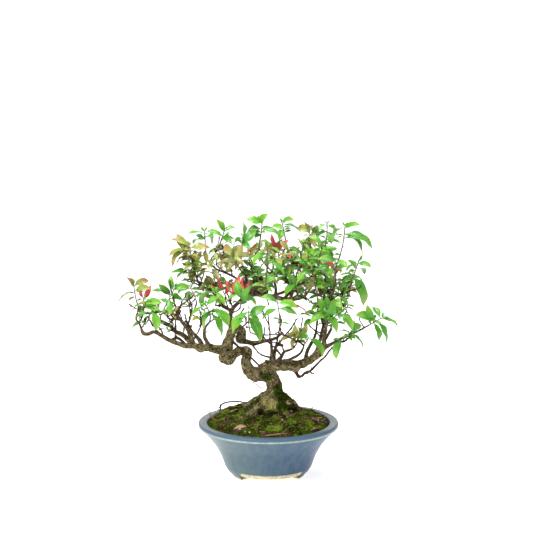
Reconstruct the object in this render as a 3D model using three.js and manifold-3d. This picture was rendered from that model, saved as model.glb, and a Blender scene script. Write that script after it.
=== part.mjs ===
// A star jasmine bonsai: a small twisted tree with leafy shoots, growing in a round glazed pot.
// Millimetres, +Z up, the viewer of the front looks along +Y. The drawing's own centre is the pot's axis.
import * as THREE from "three";
import { mergeVertices } from "three/addons/utils/BufferGeometryUtils.js";
import Module from "manifold-3d";

const wasm = await Module();
wasm.setup();

// Driving dimensions
const potHeight = 79.7;
const rimRadius = 104.2;
const rimInnerRadius = 91;
const potSides = 32;
const footInner = 44;
const footReach = 51.5;
const footAngles = [213, 336, 94];
const footHalfAngle = 12;
const drainRadius = 9;
const floorTop = 11.5;
const floorUnder = 7;
const seatGap = 0.3;
const rootGap = 0.4;
const soilEdge = 77.8;
const soilRise = 14.6;
const soilRoundness = 3.4;
const soilRings = 4;
const leafLength = 27;
const leafWidth = 0.41;
const redLeafSize = 0.75;
const leafArch = 0.2;
const leafThickness = 0.95;
const leafClearance = 0.4;
const stemBaseRadius = 1.4;
const stemTopRadius = 1.15;
const firstPairDown = 3;
const pairSpacing = 8;
const twigTipRadius = 0.95;
const bareTipRadius = 0.7;

const colours = {
  glaze: new THREE.Color(0.36, 0.45, 0.53),
  soil: new THREE.Color(0.17, 0.23, 0.06),
  bark: new THREE.Color(0.21, 0.17, 0.12),
  green: new THREE.Color(0.18, 0.42, 0.07),
  bronze: new THREE.Color(0.38, 0.34, 0.14),
  red: new THREE.Color(0.72, 0.12, 0.13),
};

// Woody limbs, thickest first: points along each as [x, y, z, radius]
const limbs = {
  trunk: [
    [-1, 0, 62, 15], [0, 0, 82, 21], [3, 0, 104, 17.6], [8, 0, 120, 13.8], [9, 0, 132, 11.4],
    [4, -2, 145, 11.4], [-7, -4, 152, 11.4], [-21, -6, 152, 10.6], [-30, -6, 159, 8.8],
    [-33, -4, 168, 7.4], [-32, -1, 177, 7], [-31, 3, 183, 7], [-38, 3, 185, 6.6],
    [-45, -3, 185, 6.8], [-53, -13, 179, 9.2], [-61, -15, 178, 10.8], [-63, -6, 183, 9.4],
    [-61, 3, 190, 8.2], [-59, 6, 199, 7.6], [-57, 8, 208, 6.4],
  ],
  leader: [
    [-57, 8, 206, 5.2], [-56, 8, 220, 3.2], [-56, 5, 236, 2.9], [-53, 4, 247, 2.9],
    [-44, 4, 257, 2.9], [-33, 6, 265, 3.2], [-20, 8, 269, 3.6], [-8, 12, 267, 3.6],
    [7, 16, 264, 3.4], [23, 20, 260, 3.1], [40, 26, 259, 2.7], [52, 32, 261, 2.2], [61, 38, 270, 1.7],
  ],
  backLoop: [
    [-57, 7, 206, 6.6], [-52, 11, 215, 7], [-44, 15, 215, 7.2], [-40, 19, 207, 7.2],
    [-43, 21, 199, 6.2], [-35, 25, 195, 4.2], [-22, 30, 191, 3.5], [-10, 38, 192, 3.1],
    [2, 50, 192, 2.7], [13, 62, 194, 2.2], [22, 74, 200, 1.7],
  ],
  leftLimb: [
    [-63, 3, 185, 8], [-76, 0, 188, 6.4], [-89, -6, 192, 5.6], [-100, -10, 191, 5.2], [-110, -14, 197, 4.8],
  ],
  rightLimb: [
    [-9, -3, 156, 10.4], [5, -4, 163, 8.6], [21, -6, 165, 7.8], [38, -8, 166, 7.2],
    [52, -12, 170, 6.4], [65, -18, 178, 5.6], [75, -22, 187, 5], [81, -24, 196, 4.2],
  ],
  leftLow: [
    [-109, -14, 196, 4.2], [-120, -20, 197, 3.8], [-135, -26, 203, 3.4], [-147, -30, 209, 3.1],
    [-156, -32, 215, 2.8], [-166, -33, 220, 2.6], [-174, -33, 217, 2.6], [-181, -32, 218, 3.1],
    [-184, -30, 224, 1.9], [-187, -28, 231, 1.7], [-192, -26, 238, 1.5], [-190, -25, 247, 1.3],
  ],
  leftMiddle: [
    [-110, -14, 198, 4.4], [-116, -8, 202, 3.9], [-126, 0, 209, 3.5], [-138, 10, 213, 3.1],
    [-148, 19, 221, 2.7], [-160, 27, 225, 2.5],
  ],
  leftUp: [
    [-111, -13, 199, 3.8], [-118, -18, 222, 3.2], [-127, -24, 235, 2.7], [-132, -28, 246, 2.1],
    [-128, -32, 257, 1.6],
  ],
  leftBack: [
    [-97, -8, 191, 4.2], [-101, 10, 197, 3.3], [-107, 32, 200, 2.7], [-116, 52, 205, 2.2],
    [-123, 70, 212, 1.7],
  ],
  leftFront: [
    [-87, -6, 192, 4], [-89, -26, 203, 3], [-92, -44, 216, 2.5], [-90, -60, 231, 2], [-84, -68, 240, 1.5],
  ],
  cutStub: [[24, -7, 165, 5.8], [34, -17, 164, 5.6], [44, -25, 164, 5.3]],
  stubUp: [[5, -2, 165, 4.6], [5, 2, 182, 2.6], [4, 4, 199, 2.3]],
  stubHook: [[8, 0, 168, 3], [10, 6, 186, 2.4], [13, 9, 192, 2.3], [22, 12, 191, 2.2]],
  stubCurl: [
    [11, -4, 169, 3.4], [19, -8, 178, 2.6], [23, -11, 186, 2.2], [32, -14, 190, 2], [39, -18, 196, 1.6],
  ],
  stubNub: [[2, -6, 168, 3], [-4, -13, 173, 2.4]],
  rightUpper: [
    [-1, -7, 168, 2.6], [13, -13, 173, 2.5], [24, -16, 174, 2.4], [36, -20, 179, 2.2],
    [46, -26, 187, 2], [51, -34, 198, 1.7],
  ],
  rightDroop: [
    [36, -12, 164, 2.6], [44, -22, 152, 2], [53, -26, 157, 1.8], [63, -29, 164, 1.7],
    [75, -33, 177, 1.4], [82, -35, 184, 1.3], [91, -39, 197, 1.2], [103, -42, 209, 1.1],
  ],
  rightInner: [
    [54, -13, 173, 3.6], [57, -9, 187, 2.7], [63, -3, 197, 2.4], [69, 6, 207, 2],
    [72, 16, 221, 1.7], [74, 24, 239, 1.4],
  ],
  rightMiddle: [
    [66, -18, 179, 3.8], [72, -20, 194, 2.9], [76, -20, 208, 2.4], [79, -18, 222, 2.1],
    [84, -14, 241, 1.8], [90, -8, 260, 1.5], [97, -2, 278, 1.2],
  ],
  rightFront: [
    [81, -24, 194, 3.8], [81, -32, 212, 2.7], [83, -42, 229, 2.2], [86, -52, 248, 1.7], [88, -60, 270, 1.4],
  ],
  rightBack: [
    [68, -17, 180, 3.6], [75, 4, 186, 2.9], [82, 26, 192, 2.4], [89, 46, 198, 2], [97, 64, 207, 1.6],
  ],
  rightLong: [
    [80, -24, 194, 3.4], [91, -28, 201, 2.4], [100, -30, 207, 2.1], [115, -33, 214, 1.8],
    [130, -36, 222, 1.6], [145, -38, 231, 1.3],
  ],
  rightLongLow: [[98, -31, 206, 1.5], [108, -42, 208, 1.3], [117, -46, 214, 1.2]],
  crownUp: [
    [-18, 8, 268, 3.6], [-17, 5, 282, 3.2], [-20, 2, 294, 2.7], [-23, 0, 309, 2.1], [-20, -2, 326, 1.6],
  ],
  crownSecond: [[-33, 6, 265, 2.9], [-35, 2, 279, 2.2], [-33, -2, 295, 1.9], [-37, -4, 311, 1.5]],
  crownThird: [[10, 17, 263, 2.8], [11, 14, 277, 2.1], [8, 12, 293, 1.8], [13, 10, 308, 1.5]],
  crownRight: [[32, 22, 260, 2.6], [38, 14, 274, 2.1], [46, 6, 289, 1.8], [55, 0, 305, 1.4]],
  crownBack: [[-4, 14, 266, 3], [-1, 36, 274, 2.6], [4, 58, 279, 2.1], [10, 80, 286, 1.6]],
  crownBackRight: [[23, 20, 260, 2.8], [35, 44, 269, 2.3], [51, 62, 277, 1.9], [68, 78, 285, 1.5]],
  crownBackLeft: [[-33, 6, 265, 2.8], [-45, 28, 272, 2.3], [-61, 50, 279, 1.9], [-80, 72, 284, 1.5]],
  crownFront: [[-24, 6, 268, 3], [-24, -20, 279, 2.4], [-18, -44, 287, 2], [-8, -64, 290, 1.6]],
  crownFrontRight: [[2, 15, 264, 2.8], [20, -10, 274, 2.3], [37, -32, 285, 1.9], [52, -50, 296, 1.5]],
  diagonal: [
    [-54, 4, 245, 2.4], [-67, -1, 252, 2.1], [-75, -5, 264, 1.9], [-84, -9, 277, 1.8],
    [-98, -13, 285, 1.6], [-109, -18, 308, 1.3],
  ],
  upperLeft: [
    [-34, 2, 278, 2.1], [-44, -2, 291, 1.8], [-53, -5, 298, 1.7], [-61, -8, 302, 1.6],
    [-77, -14, 310, 1.4], [-89, -18, 323, 1.2],
  ],
  hangTwig: [[-29, 28, 193, 1.4], [-27, 8, 196, 1], [-18, 2, 186, 0.9], [-9, -2, 179, 0.9], [3, -3, 176, 1]],
  thinTwig: [[-55, 4, 200, 1.6], [-39, -14, 190, 1], [-27, -14, 180, 0.9], [-9, -8, 160, 1.1]],
};

// Surface roots: [x, y, height above the soil, radius], each from inside the trunk's foot
const roots = {
  left: [[-3, -4, 18, 12], [-13, -13, 9, 9.5], [-25, -26, 2.6, 7.4], [-40, -37, 0.6, 5], [-54, -46, -0.8, 3]],
  stump: [[15, -3, 14, 9], [27, -8, 15, 7.4], [34, -10, 17, 6.2]],
  right: [[11, 0, 25, 11.6], [23, 3, 18, 10.4], [33, 7, 10, 8.6], [43, 12, 2.6, 6.2], [56, 17, -1, 3.4]],
  front: [[2, -6, 9, 12], [0, -20, 0.6, 9], [-4, -34, -2.6, 6]],
  frontRight: [[10, -6, 14, 11], [21, -17, 4, 8], [34, -31, -1, 4.2]],
  back: [[7, 6, 17, 11], [13, 23, 6, 8], [21, 42, -1, 4]],
  backLeft: [[-2, 3, 20, 12], [-14, 6, 13, 10], [-26, 12, 6, 8], [-38, 19, 1.6, 6], [-52, 28, -1, 3.4]],
};

// Ends of twigs that bear no leaves
const bareTwigs = [
  [-203, -20, 259], [-72, 6, 355], [-83, 6, 317], [-101, -4, 283], [-111, -30, 228], [77, -30, 251],
  [-28, 32, 229], [-1, 58, 233], [34, 44, 240], [105, -24, 271], [50, -20, 239], [-63, 26, 257],
];

// Leafy stems. seat is where the young stem leaves its twig, and each stem has a tip and its leaves from
// the top pair down, as [x, z] from the stem's tip to the leaf's tip. The rest of a leaf's length is depth.
const sprays = [
  { name: "leaves_left_end", colour: "bronze", seat: [-189, -24, 256], stems: [
    { tip: [-194, -30, 289], leaves: [[-9, 12], [21, 3], [-23, -27], [25, -7], [-7, -23]] }] },
  { name: "leaves_left_low", colour: "green", seat: [-181, -29, 246], stems: [
    { tip: [-176, -36, 265], leaves: [[-22, -15], [23, -3], [-18, -6], [21, -13]] }] },
  { name: "leaves_left_hanging", colour: "green", seat: [-171, -45, 245], stems: [
    { tip: [-165, -52, 255], leaves: [[4, -30], [-21, -17], [16, -7]] }] },
  { name: "leaves_left_middle", colour: "green", seat: [-161, 26, 233], stems: [
    { tip: [-139, 16, 276], leaves: [[23, 0], [-5, 19], [-35, -4], [-24, 7]] }] },
  { name: "leaves_left_broad", colour: "green", seat: [-146, -30, 241], stems: [
    { tip: [-141, -40, 272], leaves: [[0, -25], [17, -8], [-17, -7]] }] },
  { name: "leaves_upper_left", colour: "bronze", seat: [-110, -20, 314], stems: [
    { tip: [-113, -25, 344], leaves: [[-28, 9], [29, -3], [-21, 17], [-20, -27], [14, -21]] },
    { tip: [-121, -30, 340], leaves: [[-23, -12], [-17, -26]] }] },
  { name: "leaves_upper_left_tall", colour: "green", seat: [-91, 0, 327], stems: [
    { tip: [-93, -4, 363], leaves: [[-29, -7], [10, -21], [-17, -21], [15, -7]] }] },
  { name: "leaves_upper_left_low", colour: "green", seat: [-107, -12, 288], stems: [
    { tip: [-117, -20, 312], leaves: [[-18, -22], [3, -23], [-26, -6], [17, -3]] }] },
  { name: "leaves_top_left", colour: "green", seat: [-72, 8, 341], stems: [
    { tip: [-64, 6, 365], leaves: [[-12, 16], [17, -1], [-27, -3], [11, -20]] }] },
  { name: "leaves_top_upright", colour: "green", seat: [-41, 18, 327], stems: [
    { tip: [-38, 20, 354], leaves: [[0, 22], [-14, -19], [23, 9], [11, -19]] }] },
  { name: "leaves_top_high", colour: "green", seat: [-14, -4, 341], stems: [
    { tip: [-9, -10, 378], leaves: [[9, 13], [-24, 4], [25, -20], [-22, -15], [-11, -23]] }] },
  { name: "leaves_front_tall", colour: "green", spacing: 21, seat: [-5, -68, 288], stems: [
    { tip: [-2, -78, 351], leaves: [[-20, -34], [24, -19], [-10, -46], [25, -45], [-28, -49]] }] },
  { name: "leaves_top_middle", colour: "green", seat: [26, 32, 342], stems: [
    { tip: [20, 28, 373], leaves: [[18, 5], [29, -16], [-15, -8], [-4, -25]] }] },
  { name: "leaves_top_right_young", colour: "bronze", seat: [62, 20, 331], stems: [
    { tip: [60, 16, 362], leaves: [[-8, 15], [-16, 3], [17, -7], [8, -24]] }] },
  { name: "leaves_top_right", colour: "green", seat: [83, 0, 340], stems: [
    { tip: [85, -5, 374], leaves: [[-13, -6], [15, -15], [-16, -25], [6, -29]] }] },
  { name: "leaves_top_right_end", colour: "green", seat: [100, -28, 322], stems: [
    { tip: [109, -38, 374], leaves: [[21, 3], [-14, -17], [26, -43], [40, -33], [15, -17]] }] },
  { name: "leaves_right_pale", colour: "green", seat: [72, -58, 318], stems: [
    { tip: [76, -68, 353], leaves: [[3, -30], [-20, 9], [22, -9], [-14, -18]] }] },
  { name: "leaves_right_inner", colour: "green", seat: [56, -44, 313], stems: [
    { tip: [57, -50, 335], leaves: [[16, 4], [-11, -9], [19, -14]] },
    { tip: [37, -30, 327], leaves: [[-16, 7], [11, -9], [-13, -10]] }] },
  { name: "leaves_top_right_back", colour: "green", seat: [77, 42, 327], stems: [
    { tip: [74, 40, 354], leaves: [[-8, 13], [12, -7], [-18, -10]] }] },
  { name: "leaves_right_outer", colour: "green", seat: [122, -8, 288], stems: [
    { tip: [131, -14, 320], leaves: [[18, -7], [-19, -20], [10, -22], [-17, 4]] }] },
  { name: "leaves_right_deep", colour: "green", seat: [69, -54, 279], stems: [
    { tip: [62, -64, 319], leaves: [[-23, -27], [30, -19], [19, 3], [-18, -10]] }] },
  { name: "leaves_right_drooping", colour: "green", seat: [117, -34, 281], stems: [
    { tip: [121, -40, 305], leaves: [[15, -46], [14, -14], [-11, -37], [-19, -20]] }] },
  { name: "leaves_right_star", colour: "green", seat: [81, -66, 242], stems: [
    { tip: [85, -76, 266], leaves: [[20, -2], [9, -14], [-15, 10], [-4, 14], [-15, -6]] }] },
  { name: "leaves_right_front", colour: "green", seat: [82, -80, 231], stems: [
    { tip: [81, -92, 257], leaves: [[-24, -16], [14, -28], [10, 20]] },
    { tip: [102, -78, 256], leaves: [[16, -26], [-7, 20]] }] },
  { name: "leaves_right_end", colour: "green", seat: [145, -38, 231], stems: [
    { tip: [163, -44, 243], leaves: [[24, -15], [-12, 12], [6, -39]] },
    { tip: [151, -44, 239], leaves: [[-10, 23], [-27, 7], [8, -31]] }] },
  { name: "leaves_right_low", colour: "green", seat: [117, -46, 215], stems: [
    { tip: [118, -58, 224], leaves: [[17, -26], [16, 7]] },
    { tip: [102, -60, 213], leaves: [[-5, -28]] }] },
  { name: "leaves_middle_low", colour: "green", seat: [52, -40, 204], stems: [
    { tip: [57, -66, 218], leaves: [[20, -29], [-13, -7]] }] },
  { name: "leaves_middle_under", colour: "bronze", seat: [39, -19, 197], stems: [
    { tip: [47, -44, 222], leaves: [[-13, -30], [2, -40], [-32, -15], [9, 13], [-9, 10]] }] },
  { name: "leaves_front_middle", colour: "green", seat: [16, -92, 237], stems: [
    { tip: [12, -104, 276], leaves: [[-25, 5], [29, -10], [-21, -27], [28, -20]] }] },
  { name: "leaves_middle_left", colour: "green", seat: [-40, -56, 260], stems: [
    { tip: [-39, -68, 283], leaves: [[22, -19], [-23, -17], [-6, 16], [11, 9]] }] },
  { name: "leaves_yellow", colour: "green", seat: [-76, -30, 260], stems: [
    { tip: [-76, -44, 281], leaves: [[14, -19], [-14, -13]] }] },
  { name: "leaves_left_front", colour: "green", seat: [-82, -72, 249], stems: [
    { tip: [-88, -86, 269], leaves: [[-22, -21], [17, 7]] },
    { tip: [-77, -84, 261], leaves: [[21, -25], [-13, -28], [11, -40]] }] },
  { name: "leaves_front_hanging", colour: "green", seat: [-26, -84, 230], stems: [
    { tip: [-27, -102, 264], leaves: [[-23, -34], [11, -27], [21, -44], [24, 4]] }] },
  { name: "leaves_middle_small", colour: "green", seat: [-9, -30, 275], stems: [
    { tip: [-4, -38, 292], leaves: [[-11, -10], [14, 9], [16, -9]] }] },
  { name: "leaves_right_narrow", colour: "green", seat: [44, -42, 270], stems: [
    { tip: [41, -56, 297], leaves: [[-18, -22], [19, 4], [-14, 13]] }] },
  { name: "leaves_right_cluster", colour: "green", seat: [94, -72, 302], stems: [
    { tip: [93, -84, 330], leaves: [[16, -8], [-16, 1], [8, -20], [-9, -18]] }] },
  { name: "leaves_right_olive", colour: "bronze", seat: [54, -24, 268], stems: [
    { tip: [54, -32, 289], leaves: [[-13, 12], [14, -6], [-16, -12], [13, 12]] }] },
  { name: "leaves_right_young", colour: "bronze", seat: [113, 10, 257], stems: [
    { tip: [112, 6, 280], leaves: [[-13, -6], [12, 4], [7, -15], [-10, 10]] }] },
  { name: "leaves_right_under", colour: "green", seat: [91, -16, 266], stems: [
    { tip: [89, -22, 289], leaves: [[-15, -4], [14, -15], [9, 10]] }] },
  { name: "leaves_middle_back", colour: "green", seat: [47, 50, 309], stems: [
    { tip: [52, 48, 337], leaves: [[18, -9], [-13, 8], [-9, -15], [12, 14]] }] },
  { name: "leaves_top_inner", colour: "bronze", seat: [8, 40, 312], stems: [
    { tip: [8, 36, 335], leaves: [[-18, -7], [16, -13], [-13, 13], [13, 13]] }] },
  { name: "leaves_inner_left", colour: "bronze", seat: [-41, -36, 312], stems: [
    { tip: [-52, -46, 333], leaves: [[16, -14], [-11, 11], [13, 11], [-4, -20]] }] },
  { name: "leaves_back_left", colour: "green", seat: [-111, 84, 247], stems: [
    { tip: [-121, 100, 266], leaves: [[-19, -9], [16, 11], [-6, -25]] },
    { tip: [-97, 104, 256], leaves: [[16, 11], [-9, -22]] }] },
  { name: "leaves_back_left_high", colour: "green", seat: [-71, 78, 307], stems: [
    { tip: [-77, 96, 326], leaves: [[-15, -9], [15, 9], [9, -22]] },
    { tip: [-56, 98, 313], leaves: [[12, 16], [-9, -22]] }] },
  { name: "leaves_back_high", colour: "green", seat: [-10, 96, 310], stems: [
    { tip: [-19, 116, 326], leaves: [[-16, -9], [16, 9], [6, -25]] },
    { tip: [6, 118, 316], leaves: [[19, 6], [-6, -25]] }] },
  { name: "leaves_back_right_high", colour: "green", seat: [48, 88, 302], stems: [
    { tip: [43, 108, 321], leaves: [[-15, -6], [15, 6], [9, -28]] },
    { tip: [71, 106, 309], leaves: [[18, 9], [-6, -28]] }] },
  { name: "leaves_back_right", colour: "green", seat: [101, 84, 272], stems: [
    { tip: [95, 102, 290], leaves: [[-15, -13], [18, 6], [6, -31]] },
    { tip: [120, 96, 276], leaves: [[18, 6], [3, -25]] }] },
  { name: "leaves_back_middle", colour: "green", seat: [-22, 86, 265], stems: [
    { tip: [-35, 108, 274], leaves: [[-16, -13], [16, 9], [6, -28]] },
    { tip: [-7, 112, 276], leaves: [[19, 6], [-3, -25]] }] },
  { name: "leaves_red_left", colour: "red", seat: [-182, -14, 253], stems: [
    { tip: [-181, -16, 269], leaves: [[10, 17], [-5, 16], [8, -19]] }] },
  { name: "leaves_red_inner_left", colour: "red", seat: [-62, -12, 268], stems: [
    { tip: [-67, -16, 281], leaves: [[-7, 15], [-15, -1], [10, 12]] }] },
  { name: "leaves_red_inner", colour: "red", seat: [-54, -22, 264], stems: [
    { tip: [-54, -26, 278], leaves: [[12, 24], [-6, 16], [10, 1]] }] },
  { name: "leaves_red_strip", colour: "red", seat: [-31, -30, 272], stems: [
    { tip: [-34, -36, 282], leaves: [[-1, 21], [8, 9]] }] },
  { name: "leaves_red_top", colour: "red", seat: [-26, 28, 318], stems: [
    { tip: [-27, 26, 331], leaves: [[10, 13], [-6, 0], [-4, -20]] }] },
  { name: "leaves_red_high", colour: "red", seat: [16, 16, 320], stems: [
    { tip: [14, 14, 336], leaves: [[-10, 22], [16, 13], [7, -13]] }] },
  { name: "leaves_red_upper_right", colour: "red", seat: [29, 34, 313], stems: [
    { tip: [29, 32, 325], leaves: [[10, 10], [-10, 1], [6, -13]] }] },
  { name: "leaves_red_orange", colour: "red", seat: [30, -40, 265], stems: [
    { tip: [32, -48, 260], leaves: [[24, -13], [1, 13]] }] },
  { name: "leaves_red_far_right", colour: "red", seat: [98, 24, 285], stems: [
    { tip: [98, 20, 299], leaves: [[14, 10], [-12, 3], [-5, -9]] }] },
];

// Turns in degrees and lifts in millimetres that a leaf may take to pass clear of its neighbours, and
// the steps forward or back that a stem may take
const leafTurns = [0, 20, -20, 42, -42, 68, -68];
const leafLifts = [0, 9];
const stemShifts = [0, 5, -5, 10, -10];

// A leaf's outline from root to tip: place along the leaf, share of its half width, thickness
const leafRows = [
  { along: 0, width: 0.07, thickness: 0.5 },
  { along: 0.38, width: 1, thickness: leafThickness },
  { along: 0.72, width: 0.72, thickness: 0.8 },
];

const up = new THREE.Vector3(0, 0, 1);

// Steady random numbers from 0 to 1
function randomFrom(seed) {
  let state = seed;
  return () => {
    state = (state * 16807) % 2147483647;
    return state / 2147483647;
  };
}

// Solids

function solidFrom(vertices, triangles) {
  const mesh = new wasm.Mesh({
    numProp: 3,
    vertProperties: new Float32Array(vertices.flatMap((v) => [v.x, v.y, v.z])),
    triVerts: new Uint32Array(triangles.flat()),
  });
  return new wasm.Manifold(mesh);
}

function solidFromGeometry(geometry) {
  const plain = geometry.clone();
  plain.deleteAttribute("normal");
  plain.deleteAttribute("uv");
  const merged = mergeVertices(plain, 1e-4);
  const mesh = new wasm.Mesh({
    numProp: 3,
    vertProperties: merged.attributes.position.array,
    triVerts: new Uint32Array(merged.index.array),
  });
  return new wasm.Manifold(mesh);
}

function fuse(solids) {
  return solids.reduce((sum, solid) => sum.add(solid));
}

// The largest body of a solid, without any loose scrap
function mainBody(solid) {
  const bodies = solid.decompose();
  return bodies.reduce((best, body) => (body.volume() > best.volume() ? body : best));
}

function meshOf(name, solid, colour, roughness) {
  const { numProp, vertProperties, triVerts } = solid.getMesh();
  const positions = new Float32Array((vertProperties.length / numProp) * 3);
  for (let i = 0; i * numProp < vertProperties.length; i++) {
    positions.set(vertProperties.subarray(i * numProp, i * numProp + 3), i * 3);
  }
  const geometry = new THREE.BufferGeometry();
  geometry.setAttribute("position", new THREE.BufferAttribute(positions, 3));
  geometry.setIndex(new THREE.BufferAttribute(triVerts, 1));
  geometry.computeVertexNormals();
  const material = new THREE.MeshStandardMaterial({ color: colour, roughness, metalness: 0 });
  const mesh = new THREE.Mesh(geometry, material);
  mesh.name = name;
  return mesh;
}

// A closed, tapering limb through points, with flat ends or a pointed far end. side is where its first
// edge lies, and start and end are the directions that its end sections face.
function limbSolid(points, radii, sides, options = {}) {
  const { pointed = false, side = new THREE.Vector3(0.31, 0.87, 0.2), start, end } = options;
  const vertices = [];
  const triangles = [];
  let across = side;
  const rings = pointed ? points.length - 1 : points.length;
  for (let i = 0; i < rings; i++) {
    const before = points[Math.max(i - 1, 0)];
    const after = points[Math.min(i + 1, points.length - 1)];
    let along = after.clone().sub(before).normalize();
    if (start && i === 0) along = start;
    if (end && i === points.length - 1) along = end;
    across = across.clone().addScaledVector(along, -across.dot(along)).normalize();
    const other = along.clone().cross(across);
    for (let j = 0; j < sides; j++) {
      const angle = (2 * Math.PI * j) / sides;
      const vertex = points[i].clone();
      vertex.addScaledVector(across, radii[i] * Math.cos(angle));
      vertex.addScaledVector(other, radii[i] * Math.sin(angle));
      vertices.push(vertex);
    }
  }
  for (let i = 0; i + 1 < rings; i++) {
    for (let j = 0; j < sides; j++) {
      const a = i * sides + j;
      const b = i * sides + ((j + 1) % sides);
      triangles.push([a, b, b + sides], [a, b + sides, a + sides]);
    }
  }
  for (let j = 1; j + 1 < sides; j++) triangles.push([0, j + 1, j]);
  const last = (rings - 1) * sides;
  if (pointed) {
    vertices.push(points[points.length - 1].clone());
    const tip = vertices.length - 1;
    for (let j = 0; j < sides; j++) triangles.push([last + j, last + ((j + 1) % sides), tip]);
  } else {
    for (let j = 1; j + 1 < sides; j++) triangles.push([last, last + j, last + j + 1]);
  }
  return solidFrom(vertices, triangles);
}

// A limb from its rows. grow widens it and lengthens both of its ends
function limbFrom(rows, sides, grow = 0, options = {}) {
  const points = rows.map(([x, y, z]) => new THREE.Vector3(x, y, z));
  const last = points.length - 1;
  const back = points[0].clone().sub(points[1]).normalize();
  const ahead = points[last].clone().sub(points[last - 1]).normalize();
  points[0].addScaledVector(back, grow);
  points[last].addScaledVector(ahead, grow);
  const radii = rows.map((row) => row[3] + grow);
  return limbSolid(points, radii, sides, options);
}

// Pot: a concave flaring bowl under a flat rim, on three low feet, with one drain hole
function potSolid() {
  const profile = [
    [drainRadius, floorTop], [drainRadius, floorUnder], [52, floorUnder], [60.5, 8.2],
    [63.3, 10.2], [65, 14.5], [67.8, 22.5], [73, 35], [80.5, 48], [96, 66.4],
    [102.2, 73.4], [rimRadius, 76.6], [102.8, potHeight],
    [rimInnerRadius, potHeight - 0.6], [88.6, 68], [73, 43], [61, 15], [57.5, floorTop],
    [drainRadius, floorTop],
  ];
  const outline = profile.map(([r, z]) => new THREE.Vector2(r, z));
  const bowl = new THREE.LatheGeometry(outline, potSides);
  bowl.rotateX(Math.PI / 2);
  return fuse([solidFromGeometry(bowl), ...footAngles.map(footSolid)]);
}

// A foot: a short piece of a ring that carries on the bowl's curve
function footSolid(degrees) {
  const outline = [
    [footInner, 0], [footReach, 0], [55.5, 2.6], [62, 9.8], [60, 11], [footInner, 9], [footInner, 0],
  ];
  const ring = new THREE.LatheGeometry(outline.map(([r, z]) => new THREE.Vector2(r, z)), 60);
  ring.rotateX(Math.PI / 2);
  const half = THREE.MathUtils.degToRad(footHalfAngle);
  const centre = THREE.MathUtils.degToRad(degrees);
  const cut = new THREE.Shape();
  cut.moveTo(0, 0);
  cut.lineTo(rimRadius * Math.cos(centre - half), rimRadius * Math.sin(centre - half));
  cut.lineTo(rimRadius * Math.cos(centre + half), rimRadius * Math.sin(centre + half));
  const wedge = new THREE.ExtrudeGeometry(cut, { depth: floorTop, bevelEnabled: false });
  return solidFromGeometry(ring).intersect(solidFromGeometry(wedge));
}

// The soil's mossy top: a flattened dome, fuller at the back left, with low lumps
function soilHeight(x, y) {
  const r = Math.min(Math.hypot(x, y) / rimInnerRadius, 1);
  const dome = soilRise * (1 - r ** soilRoundness);
  const swell = 5 * Math.exp(-((x + 52) ** 2 + (y - 28) ** 2) / 1000);
  const dip = 1.5 * Math.exp(-((x - 44) ** 2 + (y - 40) ** 2) / 900);
  const lumps = Math.sin(x * 0.21 + 1.3) * Math.cos(y * 0.17 - 0.4) + 0.6 * Math.sin(x * 0.11 - y * 0.24);
  return soilEdge + dome + (1 - r ** 4) * (swell - dip + 0.9 * lumps);
}

function soilSolid(cut) {
  const edge = rimInnerRadius - 2 * seatGap;
  const side = [[88.1, 68], [72.5, 43.2], [60.5, 15.2], [57, floorTop + seatGap]];
  const vertices = [new THREE.Vector3(0, 0, soilHeight(0, 0))];
  const addRing = (radius, height) => {
    for (let j = 0; j < potSides; j++) {
      const angle = (2 * Math.PI * j) / potSides;
      const x = radius * Math.cos(angle);
      const y = radius * Math.sin(angle);
      vertices.push(new THREE.Vector3(x, y, height ?? soilHeight(x, y)));
    }
  };
  for (let i = 1; i <= soilRings; i++) addRing(edge * (i / soilRings) ** 0.8);
  side.forEach(([radius, height]) => addRing(radius, height));
  vertices.push(new THREE.Vector3(0, 0, floorTop + seatGap));
  const triangles = [];
  const ringCount = soilRings + side.length;
  for (let j = 0; j < potSides; j++) {
    const next = (j + 1) % potSides;
    triangles.push([0, 1 + j, 1 + next]);
    for (let i = 0; i + 1 < ringCount; i++) {
      const a = 1 + i * potSides;
      triangles.push([a + j, a + potSides + j, a + potSides + next], [a + j, a + potSides + next, a + next]);
    }
    const last = 1 + (ringCount - 1) * potSides;
    triangles.push([last + j, vertices.length - 1, last + next]);
  }
  return mainBody(solidFrom(vertices, triangles).subtract(cut));
}

// Wood: the trunk with its roots and limbs, and every twig that grows from them

const skeleton = [];
const woodPieces = [];

function addToSkeleton(rows) {
  rows.forEach((row, i) => {
    const before = new THREE.Vector3(...rows[Math.max(i - 1, 0)]);
    const after = new THREE.Vector3(...rows[Math.min(i + 1, rows.length - 1)]);
    skeleton.push({
      point: new THREE.Vector3(...row),
      along: after.sub(before).normalize(),
      radius: row[3],
      taken: 0,
    });
  });
}

// The place on the wood that a twig to this point would most naturally grow from
function bestForkFor(target) {
  let best = null;
  let lowest = Infinity;
  skeleton.forEach((node) => {
    const way = target.clone().sub(node.point);
    const distance = way.length();
    if (distance < 3) return;
    way.divideScalar(distance);
    const cost = distance * (1.5 - 0.6 * way.dot(node.along)) * (1.2 - 0.4 * way.z) + 7 * node.taken;
    if (cost < lowest) {
      lowest = cost;
      best = node;
    }
  });
  best.taken += 1;
  return best;
}

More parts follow.
